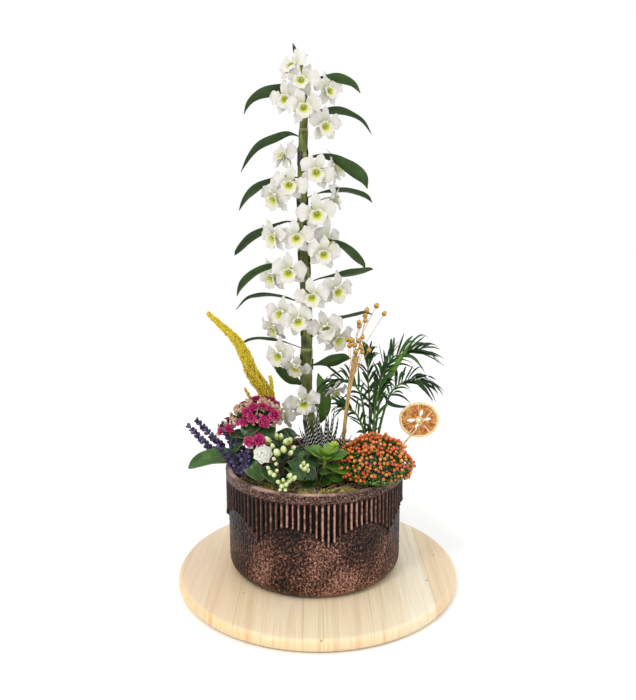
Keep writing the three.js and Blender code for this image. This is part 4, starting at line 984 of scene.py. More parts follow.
def plume_width(share):
    return (2.2 + 11.8 * (1 - share**2.2)) * (0.6 + 0.4 * smooth_step(share, -0.02, 0.12))


plume = Surfaces()
draw = np.random.default_rng(81)
plume.tube(through(PLUME, np.linspace(0, 0.6, 40)), PLUME_STALK, 8, skin=1)
spine = through(PLUME, np.linspace(PLUME_FROM, 1, 60))
husked(plume, spine, plume_width, HUSKS)
# The core of the plume, painted darkest as the shade inside it.
plume.tube(spine[:-2], plume_width(np.linspace(0, 0.96, 58)) * 0.62, 12, tone=-0.3, chance=0.2)
for low, high, wide, count in SIDE_SPIKES:
    spike = through([low, high], 20)
    husked(plume, spike, lambda share: wide * (1 - 0.75 * share), count)
    # Its core, painted dark as shade too.
    plume.tube(spike, wide * np.linspace(0.55, 0.15, 20), 8, tone=-0.3, chance=0.2)

# Dried plume: papery husks of clear yellow, painted darker towards ochre the nearer they sit to the core, as
# the shade inside the plume.
husk = new_material("dried_golden_husk")
shade = add_node("Math MULTIPLY_ADD", "tone", 0.5, add_node("Math MULTIPLY_ADD", "chance", 0.45, 0))
colour = add_node("ValToRGB", shade, stops={0: "#8f7209", 0.25: "#c4a210", 0.5: "#e2c81a", 0.85: "#f3e23e"})
add_node("BsdfPrincipled", colour, Roughness=0.7, Sheen_Weight=0.2)
# Dry flower stalk: tan straw with lengthwise streaks, slightly shiny.
STRAW = {0.35: "#8f6a35", 0.5: "#c29a5c", 0.65: "#dfc08a"}
straw = patterned("dry_straw_stalk", (800, 800, 40), 3, STRAW, 0.55, (0.4, 0.0003))
make_piece("golden_plume", plume, [husk, straw], "gold_plume")


# ---- the lavender ----
# Eight spikes of lavender on thin square stems, in five groups that each share a foot. Each whorl is a ring
# of six ribbed velvety buds.
# Each group of spikes: for each, its foot on the mix, where its buds begin, and its tip.
LAVENDER = [
    [((-108, -12), (-160, -20, 209), (-198, -20, 249))],
    [((-102, 4), (-150, -12, 216), (-187, -12, 256))],
    [((-96, -54), (-112, -65, 208), (-137, -65, 257)), ((-94, -50), (-100, -70, 207), (-117, -68, 243))],
    [((-100, -44), (-118, -68, 196), (-147, -68, 232)), ((-98, -46), (-108, -76, 194), (-133, -74, 226))],
    [((-86, -68), (-104, -84, 202), (-99, -84, 232)), ((-88, -66), (-98, -82, 198), (-112, -80, 224))],
]
WHORL_STEP, WHORL_BUDS, WHORL_WIDTH = 6.0, 6, 3.9
BUD_LONG, BUD_WIDE, LIP_LONG, LIP_WIDE = 6.8, 4.6, 1.6, 2.1


def beads(surfaces, centres, ways, lengths, widths, sides, rows, chance=0.0, tone=0.0, skin=0, pear=0.0):
    """Many small round closed bodies at once, such as buds and berries, each lying along its way. pear is
    how much thinner the far end is."""
    count, ways = len(centres), unit(ways)
    side = unit(np.cross(ways, (0.36, 0.48, 0.8)) + 1e-6)
    up = np.cross(ways, side)
    lean = np.radians(np.linspace(-68, 68, rows))[:, None, None]
    turn = np.linspace(0, 2 * np.pi, sides, endpoint=False)[:, None]
    length, width = (np.broadcast_to(v, count)[:, None, None, None] / 2 for v in (lengths, widths))
    ring = side[:, None, None] * np.cos(turn) + up[:, None, None] * np.sin(turn)
    axis = centres[:, None, None] + ways[:, None, None] * np.sin(lean) * length
    grid = axis + ring * np.cos(lean) * width * (1 - pear * np.sin(lean))
    poles = centres[:, None] + ways[:, None] * np.array([[-1], [1]]) * length[:, :, 0]
    points = np.concatenate([grid.reshape(count, -1, 3), poles], axis=1)
    each = rows * sides + 2
    faces = [part + (np.arange(count) * each)[:, None, None] for part in ring_faces(rows, sides)]
    along = np.tile(np.append(np.repeat(np.linspace(0.05, 0.95, rows), sides), [0, 1]), count)
    across = np.tile(np.append(np.tile(np.linspace(0, 1, sides, endpoint=False), rows), [0, 0]), count)
    chance, tone = (np.repeat(np.broadcast_to(m, count), each) for m in (chance, tone))
    surfaces.add(points, [f.reshape(-1, f.shape[-1]) for f in faces], along, across, chance, tone, skin)


# Lavender bud: downy dark violet, ribbed 0.6 mm apart and greyer on the ribs, with a paler lip.
bud_down = new_material("downy_lavender_bud")
ribs = add_node("Math SINE", add_node("Math MULTIPLY", "across", 50.3))
shade = add_node("Math MULTIPLY_ADD", ribs, 0.14, "chance")
colour = add_node("ValToRGB", shade, stops={0: "#1b142a", 0.4: "#322744", 0.75: "#4d4168", 1: "#6f638f"})
colour = add_node("MixRGB", add_node("Math MULTIPLY", "tone", 0.5), colour, "#5a4f8a")
bump = add_node("Bump", Height=ribs, Strength=0.3, Distance=0.0003)
add_node("BsdfPrincipled", colour, Roughness=0.8, Sheen_Weight=0.25, Sheen_Tint="#a79cd0", Normal=bump)
# Lavender stem: dry grey-green with brown streaks.
herb_stem = patterned("dry_herb_stem", 170, 2, {0.35: "#40382b", 0.65: "#7b7657"}, 0.7)

for i, spikes in enumerate(LAVENDER):
    draw = np.random.default_rng(90 + i)
    spike = Surfaces()
    for foot, start, tip in spikes:
        foot = np.array([*foot, SOIL_TOP - 8.0])
        path = through([foot, foot + (start - foot) * (0.3, 0.3, 0.5), start, tip], 60)
        spike.tube(path, 1.0, 6, skin=1)
        spine = path[36:]
        whorls = int(np.linalg.norm(np.diff(spine, axis=0), axis=1).sum() / WHORL_STEP)
        share = np.repeat((np.arange(whorls) + 0.5) / whorls, WHORL_BUDS)
        turn = np.tile(np.arange(WHORL_BUDS) * 2 * np.pi / WHORL_BUDS, whorls)
        turn += np.repeat(np.arange(whorls) * 0.5, WHORL_BUDS)
        at, along, out = around(spine, share + draw.normal(0, 0.012, len(share)), turn)
        wide = WHORL_WIDTH - 2.2 * share**4 - 0.6 * (share < 0.12)
        ways = along + out * draw.uniform(0.5, 0.95, len(share))[:, None]
        centres = at + out * (wide * 0.95)[:, None] + along
        size = (0.75 + 0.25 * wide / WHORL_WIDTH) * draw.uniform(0.88, 1.1, len(share))
        chance = draw.uniform(0, 1, len(share))
        beads(spike, centres, ways, BUD_LONG * size, BUD_WIDE * size, 7, 5, chance)
        lips = centres + unit(ways) * 2.6
        beads(spike, lips, out, LIP_LONG * size, LIP_WIDE * size, 5, 3, chance, tone=1.0)
    make_piece(f"lavender_{i + 1}", spike, [bud_down, herb_stem], f"lavender_spike_{i + 1}")


# ---- the pink kalanchoe ----
# A florist's kalanchoe: fleshy oval leaves on thick stems, and heads of small double magenta flowers among
# round cream-pink buds. The largest head stands at the top, two smaller ones lower down.
PINK_STEMS = [
    ((-78, -30, 157), (-84, -36, 215), (-90, -45, 250)),
    ((-78, -30, 190), (-84, -55, 215), (-90, -72, 232)),
    ((-80, -32, 190), (-105, -42, 215), (-132, -50, 240)),
]
# Each leaf: its start, knee, tip, width, how bright it is and which way it leans.
PINK_LEAVES = [
    ((-84, -34, 194), (-149, -42, 206), (-194, -44, 189), 30, 0.6, (0, -0.1, -0.3)),
    ((-92, -52, 204), (-98, -82, 209), (-78, -92, 188), 22, 0.45, (0.3, 0, 0.6)),
    ((-78, -56, 196), (-72, -90, 202), (-54, -99, 186), 20, 0.3, (0.2, 0, 0.4)),
    ((-86, -36, 222), (-110, -58, 244), (-122, -72, 222), 30, 0.25),
    ((-80, -28, 205), (-100, 4, 232), (-118, 20, 224), 32, 0.35),
    ((-78, -26, 200), (-48, 2, 226), (-30, 16, 220), 28, 0.3),
    ((-80, -34, 228), (-60, -58, 244), (-50, -74, 228), 28, 0.15),
    ((-82, -38, 240), (-92, -68, 262), (-104, -84, 250), 30, 0.15),
    ((-84, -36, 236), (-76, -66, 258), (-70, -84, 244), 28, 0.3),
    ((-84, -34, 210), (-110, -58, 240), (-122, -76, 246), 30, 0.3),
    ((-82, -34, 240), (-108, -34, 262), (-124, -36, 258), 20, 0.2),
]
# Each head: its middle, its radii, how many buds, and the open flowers, each a place and a size.
PINK_HEADS = [
    (
        (-90, -45, 268),
        (39, 39, 26),
        160,
        [
            *[(-100, -80, 285, 10), (-91, -76, 292, 8), (-78, -72, 292, 7), (-62, -80, 281, 10)],
            *[(-75, -85, 273, 10), (-93, -85, 276, 8), (-107, -82, 271, 7), (-69, -76, 289, 6)],
            *[(-113, -76, 269, 6), (-112, -34, 284, 9), (-70, -28, 290, 9), (-94, -18, 288, 10)],
            *[(-62, -30, 284, 8), (-92, -44, 294, 9), (-112, -15, 276, 8), (-75, -8, 280, 9)],
        ],
    ),
    ((-90, -76, 238), (16, 16, 13), 22, [(-97, -92, 245, 9), (-82, -94, 247, 11), (-88, -80, 255, 8)]),
    ((-134, -50, 248), (15, 15, 13), 26, [(-141, -62, 252, 7), (-129, -66, 256, 8), (-133, -42, 263, 8)]),
]
PINK_BUD_LONG, PINK_BUD_WIDE, PINK_STALK = 7.6, 5.2, 0.7
OVAL = [(0, 0.22), (0.1, 0.45), (0.32, 0.9), (0.58, 1.0), (0.82, 0.84), (0.95, 0.48), (1, 0.14)]


def arched(start, knee, tip, steps):
    """A curve from start to tip that passes the knee half way."""
    start, knee, tip = np.array([start, knee, tip], float)
    t = np.linspace(0, 1, steps)[:, None]
    return (1 - t) ** 2 * start + 2 * t * (1 - t) * (2 * knee - (start + tip) / 2) + t**2 * tip


def fleshy(surfaces, start, knee, tip, width, youth, lean=(0, 0, 0), thick=2.2, shape=OVAL, fold=0.18):
    """A thick leaf that arches from start to tip past the knee. It turns to the light at the front, and by
    its lean."""
    line = arched(start, knee, tip, 18)
    shares, reach = np.linspace(0, 1, 18), line[-1] - line[0]
    level = np.cross(UP, reach) + UP * reach[0] * 0.4 + np.array(lean) * np.linalg.norm(reach)
    taper = thick * np.clip(np.sin(np.pi * np.minimum(1, shares * 0.9 + 0.1)), 0.35, 1)[:, None]
    blade(surfaces, line, level, width / 2 * outline(shape, shares), taper, fold=fold, wave=0.5, chance=youth)


def double_flower(surfaces, centre, face, radius, whorls=(7, 7, 6, 4)):
    """A flower of small overlapping petals, flat outside and more upright with each whorl inwards."""
    face = unit(face)
    right = unit(np.cross(face, (0.13, 0.3, 0.94)))
    rise = np.cross(face, right)
    t, s = np.linspace(0, 1, 6)[:, None], np.linspace(-1, 1, 5)
    for ring, count in enumerate(whorls):
        share = ring / len(whorls)
        length = radius * (1 - 0.62 * share)
        for k in range(count):
            turn = 2 * np.pi * (k + 0.5 * ring) / count + draw.normal(0, 0.12)
            opened = math.radians(12 + 62 * share + draw.normal(0, 6))
            half = length * 0.42 * outline(PETAL, t) * draw.uniform(0.9, 1.1)
            cup = 0.28 * half * s**2 + 0.05 * radius * np.sin(t * 9 + k)
            out = t * length * math.cos(opened) - cup * math.sin(opened)
            lift = t * length * math.sin(opened) + cup * math.cos(opened) - 0.16 * length * t**3
            way = right * math.cos(turn) + rise * math.sin(turn)
            parts = np.stack([out, half * s, lift + 0.06 * radius * ring], axis=-1)
            grid = centre + parts @ np.array([way, np.cross(face, way), face])
            surfaces.shell(grid, 0.045 * radius, chance=draw.uniform(), tones=(share, 1.0))
    cup_line = centre + face * radius * np.array([[-0.55], [-0.2], [0.12]])
    surfaces.tube(cup_line, radius * np.array([0.14, 0.26, 0.3]), 8, tone=1.0)


def flower_stalks(surfaces, ends, joint, radius):
    """Thin stalks from one joint to the foot of each flower or bud."""
    for end in ends:
        surfaces.tube(through([joint, joint + (end - joint) * (0.35, 0.35, 0.6), end], 9), radius, 5, skin=2)


# Kalanchoe leaf: thick, smooth and waxy, dark green to olive when young, with a paler rim.
fleshy_leaf = new_material("waxy_kalanchoe_leaf")
blotch = add_node("TexNoise", "place", Scale=90, Detail=4)
old = add_node("ValToRGB", blotch, stops={0.3: "#101f12", 0.55: "#1c361d", 0.75: "#2f5029"})
young = add_node("ValToRGB", blotch, stops={0.3: "#33581b", 0.55: "#456f26", 0.75: "#5f8638"})
off_rib = add_node("Math ABSOLUTE", "across")
colour = add_node("MixRGB", "chance", old, young)
colour = add_node("MixRGB", add_node("MapRange", off_rib, 0.9, 1, 0, 0.45), colour, "#9db070")
colour = add_node("MixRGB", add_node("MapRange", off_rib, 0, 0.1, 0.3, 0), colour, "#64844a")
bump = add_node("Bump", Height=blotch, Strength=0.3, Distance=0.0006)
add_node("BsdfPrincipled", colour, Roughness=0.3, Specular_IOR_Level=0.3, Normal=bump)
# Kalanchoe stem: green flushed with dark red.
FLUSHED = {0.35: "#2b3a1d", 0.55: "#48552b", 0.7: "#4a3226"}
fleshy_stem = patterned("flushed_kalanchoe_stem", 55, 2, FLUSHED, 0.45)
plant = Surfaces()
for stem in PINK_STEMS:
    plant.tube(through(stem, 20), np.linspace(3.2, 2.4, 20), 9, skin=1)
for leaf in PINK_LEAVES:
    fleshy(plant, *leaf)
make_piece("pink_kalanchoe", plant, [fleshy_leaf, fleshy_stem], "pink_kalanchoe_plant")

# Magenta petal: deep and velvety, darker towards the heart and paler only at its edge.
magenta = new_material("velvety_magenta_petal")
shade = add_node("Math MULTIPLY_ADD", "chance", 0.3, "along")
colour = add_node("ValToRGB", shade, stops={0.1: "#2a0110", 0.5: "#72042f", 0.9: "#9f0846", 1: "#c13a75"})
cell = add_node("TexNoise", "place", Scale=700, Detail=2)
bump = add_node("Bump", Height=cell, Strength=0.25, Distance=0.0003)
velvet = dict(Roughness=0.55, Specular_IOR_Level=0.25, Subsurface_Weight=0.08)
add_node("BsdfPrincipled", colour, Normal=bump, **velvet)
# Kalanchoe bud: a smooth fleshy drop, olive at the foot, cream with a pink blush at the tip.
blush_bud = new_material("blushed_kalanchoe_bud")
shade = add_node("Math MULTIPLY_ADD", "chance", 0.35, "along")
colour = add_node("ValToRGB", shade, stops={0.15: "#454b1c", 0.4: "#8d8049", 0.72: "#dcc8a4", 1: "#b8706c"})
add_node("BsdfPrincipled", colour, Roughness=0.4, Subsurface_Weight=0.15)

for i, (middle, radii, bud_count, flowers) in enumerate(PINK_HEADS):
    draw = np.random.default_rng(120 + i)
    head = Surfaces()
    feet, flowers = [], np.array(flowers, float)
    for *centre, size in flowers:
        face = np.subtract(centre, middle) / radii + UP * 0.25
        double_flower(head, centre, face + draw.normal(0, 0.1, 3), size)
        feet.append(centre - unit(face) * size * 0.5)
    ways, spots = [], []
    while len(spots) < bud_count:
        way = heading(draw.uniform(0, 360), draw.uniform(-14, 85))
        spot = middle + way * radii * draw.uniform(0.9, 1.04)
        if (np.linalg.norm(flowers[:, :3] - spot, axis=1) > flowers[:, 3] * 0.78 + 1.2).all():
            spots.append(spot)
            ways.append(way + UP * 0.5)
    spots, ways = np.array(spots), np.array(ways)
    size = draw.uniform(0.7, 1.1, bud_count)
    chance = draw.uniform(0, 1, bud_count)
    beads(head, spots, ways, PINK_BUD_LONG * size, PINK_BUD_WIDE * size, 8, 6, chance, skin=1)
    flower_stalks(head, [*feet, *(spots - ways * 3)], middle - UP * radii[2] * 0.75, PINK_STALK)
    small = heading(draw.uniform(0, 360, 14), draw.uniform(0, 50, 14)) * radii * 0.72 + middle
    tips = small + draw.normal(0, 0.4, (14, 3)) * 9 + UP * 6
    head.darts(small, tips, np.ones((14, 3)), 5.0, 1.2, 0.3, skin=2)
    skins = [magenta, blush_bud, fleshy_stem]
    make_piece(f"pink_head_{i + 1}", head, skins, f"pink_kalanchoe_head_{i + 1}")


# ---- the white kalanchoe ----
# The same kind in white, in front of the pink one: one open double flower, round yellow-green buds in loose
# clusters, and dark leaves.
WHITE_STEM = [(-44, -62, 157), (-46, -72, 190), (-50, -82, 214)]
WHITE_SHOOTS = [
    [(-44, -66, 185), (-47, -90, 188), (-48, -104, 187)],
    [(-44, -66, 185), (-34, -84, 192), (-26, -92, 197)],
    [(-46, -74, 188), (-56, -90, 193), (-60, -98, 199)],
]
WHITE_LEAVES = [
    ((-44, -66, 184), (-34, -92, 208), (-22, -108, 194), 27, 0.25),
    ((-46, -66, 186), (-20, -74, 210), (0, -80, 204), 27, 0.1),
    ((-44, -62, 182), (-28, -40, 210), (-18, -26, 206), 22, 0.2),
    ((-44, -64, 186), (-22, -86, 204), (-6, -98, 190), 24, 0.05),
    ((-46, -70, 196), (-36, -90, 216), (-28, -104, 204), 18, 0.2),
    ((-48, -66, 200), (-62, -58, 226), (-70, -54, 222), 20, 0.1),
]
# Each cluster: the joint of its stalks, and its buds, each a place and a diameter.
WHITE_BUDS = {
    (-50, -86, 218): [
        *[(-59, -78, 249, 8), (-44, -86, 243, 9), (-71, -88, 246, 10), (-48, -104, 238, 10)],
        *[(-57, -108, 235, 11), (-63, -104, 243, 7), (-38, -98, 231, 8), (-61, -110, 226, 6)],
        *[(-58, -111, 219, 6), (-40, -88, 247, 6), (-34, -94, 237, 7), (-52, -82, 250, 7)],
        *[(-46, -96, 246, 7), (-55, -68, 244, 8), (-40, -72, 240, 8)],
    ],
    (-60, -98, 198): [(-69, -108, 212, 6), (-66, -110, 206, 8), (-61, -111, 203, 8), (-57, -110, 209, 6)],
    (-48, -104, 186): [
        *[(-55, -112, 193, 7), (-50, -114, 188, 8), (-44, -114, 190, 8), (-48, -113, 196, 6)],
        *[(-40, -112, 194, 7), (-52, -115, 183, 6), (-45, -116, 183, 6), (-39, -114, 203, 8)],
        *[(-33, -113, 199, 8), (-37, -113, 197, 6)],
    ],
    (-26, -92, 196): [
        *[(-24, -98, 210, 7), (-19, -99, 207, 8), (-15, -98, 211, 7), (-20, -97, 215, 6)],
        *[(-14, -97, 204, 6), (-25, -99, 203, 6)],
    ],
}
WHITE_FLOWER, WHITE_RADIUS = np.array([-77.0, -100.0, 230.0]), 14.5
# How long and wide a white bud is for its diameter, and how much thinner it is at its tip.
WHITE_BUD_LONG, WHITE_BUD_WIDE, WHITE_BUD_PEAR = 1.35, 0.9, 0.24
plant = Surfaces()
plant.tube(through(WHITE_STEM, 20), np.linspace(3.2, 2.2, 20), 9, skin=1)
for shoot in WHITE_SHOOTS:
    plant.tube(through(shoot, 12), 1.6, 7, skin=1)
for leaf in WHITE_LEAVES:
    fleshy(plant, *leaf)
make_piece("white_kalanchoe", plant, [fleshy_leaf, fleshy_stem], "white_kalanchoe_plant")

# White petal: matt cream white that lets some light through, greenish at its foot.
white_petal = new_material("matt_white_petal")
colour = add_node("ValToRGB", "along", stops={0: "#c4cb84", 0.3: "#e4e3c8", 0.8: "#eceade"})
cell = add_node("TexNoise", "place", Scale=600, Detail=2)
bump = add_node("Bump", Height=cell, Strength=0.2, Distance=0.0003)
add_node("BsdfPrincipled", colour, Roughness=0.6, Subsurface_Weight=0.2, Normal=bump)
# White kalanchoe bud: a smooth round drop, leaf green at the foot, pale yellow-green above, cream at the tip.
pale_bud = new_material("pale_kalanchoe_bud")
LEAF_TO_CREAM = {0.05: "#7c8c2c", 0.3: "#a9b854", 0.6: "#d0d48e", 0.9: "#e6e3bd"}
colour = add_node("ValToRGB", "along", stops=LEAF_TO_CREAM)
add_node("BsdfPrincipled", colour, Roughness=0.4, Subsurface_Weight=0.25)

head = Surfaces()
draw = np.random.default_rng(140)
double_flower(head, WHITE_FLOWER, (-0.15, -0.9, 0.4), WHITE_RADIUS, whorls=(8, 8, 7, 5, 3))
flower_stalks(head, [WHITE_FLOWER + (1.5, 6, -3)], np.array(list(WHITE_BUDS)[0]), 1.1)
for joint, cluster in WHITE_BUDS.items():
    cluster = np.array(cluster, float)
    places, sizes = cluster[:, :3], cluster[:, 3]
    ways = unit(places - joint) + draw.normal(0, 0.12, places.shape) + UP * 0.2
    chance = draw.uniform(0, 1, len(cluster))
    long, wide = sizes * WHITE_BUD_LONG, sizes * WHITE_BUD_WIDE
    beads(head, places, ways, long, wide, 12, 9, chance, skin=1, pear=WHITE_BUD_PEAR)
    feet = places - ways * (sizes[:, None] * 0.5)
    flower_stalks(head, feet, np.array(joint), 0.9)
    for foot, way, size in zip(feet, ways, sizes):
        at, along, out = around(np.array([foot, foot + way]), np.zeros(4), np.arange(4) * np.pi / 2)
        sepals = foot + out * size * 0.2
        tips = sepals + along * size * 0.7 + out * size * 0.42
        head.darts(sepals, tips, np.cross(along, out), size * 0.3, 0.6, 0.4, skin=2)
make_piece("white_head", head, [white_petal, pale_bud, fleshy_leaf], "white_kalanchoe_head")


# ---- the zebra haworthia ----
# A rosette of stiff pointed succulent leaves, black-green with broken raised white bands on their backs.
# They stand in four rings round a short stem, the inner ones more upright.
ZEBRA_MIDDLE, ZEBRA_CROWN, ZEBRA_THICK = (8, -6), 182, 4.4
# Each ring: how many leaves, the first azimuth, their reach, rise and width.
ZEBRA_RINGS = [(10, 20, 44, 52, 12.5), (10, 5, 36, 70, 12), (9, 38, 25, 88, 11), (6, 0, 12, 97, 9)]
SPEAR = [(0, 0.75), (0.15, 1.0), (0.4, 0.86), (0.65, 0.6), (0.85, 0.3), (1, 0.04)]
KEELED = np.array([0.15, 0.6, 0.85, 1.0, 0.85, 0.6, 0.15])
zebra = Surfaces()
draw = np.random.default_rng(151)
zebra.tube([(*ZEBRA_MIDDLE, 157), (*ZEBRA_MIDDLE, 176), (*ZEBRA_MIDDLE, 190)], [8, 9, 5], 12)
spear = outline(SPEAR, np.linspace(0, 1, 26))
for count, first, reach, rise, width in ZEBRA_RINGS:
    for k in range(count):
        out = heading(first + 360 * k / count + draw.normal(0, 7))
        foot = np.array([*ZEBRA_MIDDLE, ZEBRA_CROWN + draw.uniform(-4, 5)]) + out * 3
        far, tall = reach * draw.uniform(0.85, 1.05), rise * draw.uniform(0.8, 1.02)
        line = arched(foot, foot + out * far * 0.6 + UP * tall * 0.42, foot + out * far + UP * tall, 26)
        thick, given = ZEBRA_THICK * spear[:, None] * KEELED, dict(fold=0.42, columns=7)
        blade(zebra, line, np.cross(UP, out), width / 2 * spear, thick, chance=draw.uniform(), **given)

# Haworthia leaf: hard and matt, nearly black green, greener inside, with rows of white pimples that run
# together into bands 3.3 mm apart on the back and stand 0.3 mm proud.
zebra_leaf = new_material("banded_haworthia_leaf")
break_up = add_node("TexNoise", "place", Scale=240, Detail=1)
phase = add_node("Math MULTIPLY_ADD", "along", 88, "chance")
phase = add_node("Math MULTIPLY_ADD", add_node("Math MULTIPLY", "across", "across"), -4, phase)
phase = add_node("Math MULTIPLY_ADD", "chance", 40, phase)
band = add_node("Math MULTIPLY_ADD", break_up, 1.6, add_node("Math SINE", phase))
band = add_node("MapRange", add_node("Math MULTIPLY_ADD", "along", -0.6, band), 0.72, 0.86, 0, 1)
band = add_node("Math MULTIPLY", band, add_node("MapRange", "tone", 0, 1, 0.85, 1))
body = add_node("ValToRGB", break_up, stops={0.3: "#070a07", 0.55: "#0e140e", 0.75: "#1b2617"})
colour = add_node("MixRGB", band, body, "#eeefe8")
bump = add_node("Bump", Height=band, Strength=0.6, Distance=0.0004)
add_node("BsdfPrincipled", colour, Roughness=0.6, Specular_IOR_Level=0.2, Normal=bump)
make_piece("zebra_haworthia_plant", zebra, [zebra_leaf], "zebra_haworthia")


# ---- the jade plant ----
# A young jade plant at the front: two thick yellow-green stems with pairs of glossy spoon-shaped leaves, and
# a rosette of new ones on a shoot at the top.
JADE_STEMS = [[(8, -52, 157), (9, -58, 195), (11, -64, 216)], [(2, -54, 157), (-3, -62, 182), (-6, -70, 192)]]
JADE_SHOOT = [(11, -64, 216), (18, -63, 224), (24, -63, 230)]
NEW_LEAVES_FOOT, NEW_LEAVES = np.array([24, -63, 229.0]), 9
JADE_STEM, JADE_SHOOT_STEM, JADE_THICK, NEW_THICK = 3.3, 1.8, 3.6, 1.6
# Each leaf: its stem, the height of its foot, its azimuth, its climb, its length and its width.
JADE_LEAVES = [
    *[(0, 216, -120, 50, 17, 11), (0, 216, -20, 38, 24, 14), (0, 216, 70, 45, 20, 13)],
    *[(0, 215, 165, 42, 22, 14), (0, 213, -70, 12, 19, 12), (0, 209, -150, 34, 40, 24)],
    *[(0, 208, -14, 22, 38, 19), (0, 208, 50, 34, 32, 19), (0, 208, 135, 36, 30, 19)],
    *[(0, 199, -20, -4, 43, 24), (0, 198, 80, 14, 30, 18), (0, 202, -168, 20, 42, 25)],
    *[(0, 194, -88, -6, 22, 15), (0, 188, -32, -10, 34, 19), (1, 192, -110, 40, 24, 16)],
    *[(1, 191, 172, 28, 32, 19), (1, 188, -160, -4, 30, 18), (1, 184, 140, 10, 28, 17)],
    *[(1, 182, -124, -16, 28, 18), (0, 183, -84, -18, 26, 19)],
]
SPOON = [(0, 0.26), (0.15, 0.36), (0.45, 0.82), (0.7, 1.0), (0.88, 0.78), (0.97, 0.38), (1, 0.12)]
jade = Surfaces()
draw = np.random.default_rng(161)
for stem in JADE_STEMS:
    jade.tube(through(stem, 24), JADE_STEM + 0.35 * np.sin(np.linspace(0, 30, 24)), 12, tone=-1.0, skin=1)
for stem, height, azimuth, climb, length, width in JADE_LEAVES:
    path, reach = through(JADE_STEMS[stem], 60), heading(azimuth, climb) * length
    foot = path[np.argmin(abs(path[:, 2] - height))]
    youth = np.clip((height - 180) / 40 + draw.normal(0, 0.12), 0, 1)
    knee = foot + reach * 0.55 - UP * 1.8
    fleshy(jade, foot, knee, foot + reach, width, youth, thick=JADE_THICK, shape=SPOON, fold=0.22)
for k in range(NEW_LEAVES):
    foot, way = NEW_LEAVES_FOOT, heading(40 * k, 35 + 25 * (k % 2))
    knee = foot + way * 4 - UP * 0.4
    fleshy(jade, foot, knee, foot + way * 8.5, 4.4, 1.6, thick=NEW_THICK, shape=SPOON)
jade.tube(through(JADE_SHOOT, 10), JADE_SHOOT_STEM, 8, skin=1)

# Jade leaf: swollen and glassy smooth, fresh green, more yellow when young, with a clear gloss.
jade_leaf = new_material("glossy_jade_leaf")
blotch = add_node("TexNoise", "place", Scale=80, Detail=3)
shade = add_node("Math MULTIPLY_ADD", blotch, 0.5, add_node("Math MULTIPLY_ADD", "chance", 0.5, 0))
JADE_GREENS = {0.15: "#183210", 0.4: "#2f5816", 0.65: "#4f7f22", 0.8: "#76a030", 1: "#b0cc45"}
rim = add_node("MapRange", add_node("Math ABSOLUTE", "across"), 0.85, 1, 0, 0.45)
colour = add_node("MixRGB", rim, add_node("ValToRGB", shade, stops=JADE_GREENS), "#7fa33f")
bump = add_node("Bump", Height=blotch, Strength=0.2, Distance=0.0005)
gloss = dict(Roughness=0.14, Specular_IOR_Level=0.6, Subsurface_Weight=0.1)
add_node("BsdfPrincipled", colour, Normal=bump, **gloss)
# Jade stem: thick, smooth and yellow-green, ringed where leaves fell.
RINGED = {0.35: "#5d6c20", 0.5: "#869634", 0.65: "#a8b34e"}
jade_stem = patterned("smooth_jade_stem", (60, 60, 420), 2, RINGED, 0.35, (0.4, 0.0004))
make_piece("jade", jade, [jade_leaf, jade_stem], "jade_plant")


# ---- the bead plant ----
# A cushion of tiny round green leaves studded with orange berries, thickest on top. It fills the right of
# the pot and hangs a little over the rim.
BEAD_MIDDLE = np.array([85.0, -52.0, 190.0])
BEAD_RADIUS, BEAD_RISE, BEAD_DROP = 53, 50, 17
BEAD_LEAVES, BEAD_LEAF_THICK, BEAD_LEAF_WIDE = 2300, 1.8, 5.8
BERRIES, BERRY_GAP, BERRY_LONG, BERRY_WIDE = 1300, 4.3, 5.5, 5.3
DOME = [(0, 157), (15, 157), (15, 178), (38, 182), (43, 190), (41, 202), (36, 214), (26, 225), (12, 231)]


def over_dome(count, low, high):
    """Places on the cushion between two climbs, with the way out and the climb there."""
    azimuth = draw.uniform(0, 360, count)
    low, high = (math.sin(math.radians(climb)) for climb in (low, high))
    climb = np.degrees(np.arcsin(draw.uniform(low, high, count)))
    way, rise = heading(azimuth, climb), np.where(climb > 0, BEAD_RISE, BEAD_DROP)
    lumps = 1 + 0.05 * np.sin(azimuth / 13) + 0.05 * np.sin(azimuth / 8 + climb / 7)
    radii = np.stack([BEAD_RADIUS * lumps, BEAD_RADIUS * lumps, rise * lumps], axis=-1)
    return BEAD_MIDDLE + way * radii, way, climb


cushion = Surfaces()
draw = np.random.default_rng(171)
# The core of the cushion, hidden under the leaves and coloured as painted shade by its tone of -1.
turned(cushion, [*DOME, (0, 232)], 40, BEAD_MIDDLE[:2], tone=-1)
spots, ways, climbs = over_dome(BEAD_LEAVES, -40, 89)
spots = spots - ways * draw.uniform(0.5, 8, BEAD_LEAVES)[:, None]
size = draw.uniform(0.8, 1.35, BEAD_LEAVES)
tilt = ways + draw.normal(0, 0.5, ways.shape)
chance = draw.uniform(0, 1, BEAD_LEAVES)
beads(cushion, spots, tilt, BEAD_LEAF_THICK * size, BEAD_LEAF_WIDE * size, 6, 2, chance, tone=1.0)
spots, ways, climbs = over_dome(BERRIES, -12, 89)
keep = draw.uniform(0, 1, BERRIES) < smooth_step(climbs, -2, 42) * 0.9 + 0.1
spots, ways = spots[keep] + ways[keep] * draw.uniform(-1.5, 1.8, keep.sum())[:, None], ways[keep]
apart = [0]
for i in range(1, len(spots)):
    if (np.linalg.norm(spots[apart] - spots[i], axis=1) > BERRY_GAP).all():
        apart.append(i)
spots, ways = spots[apart], ways[apart]
size, chance = draw.uniform(0.85, 1.12, len(spots)), draw.uniform(0, 1, len(spots))
tilt = ways + draw.normal(0, 0.25, ways.shape)
beads(cushion, spots, tilt, BERRY_LONG * size, BERRY_WIDE * size, 8, 5, chance, skin=1)

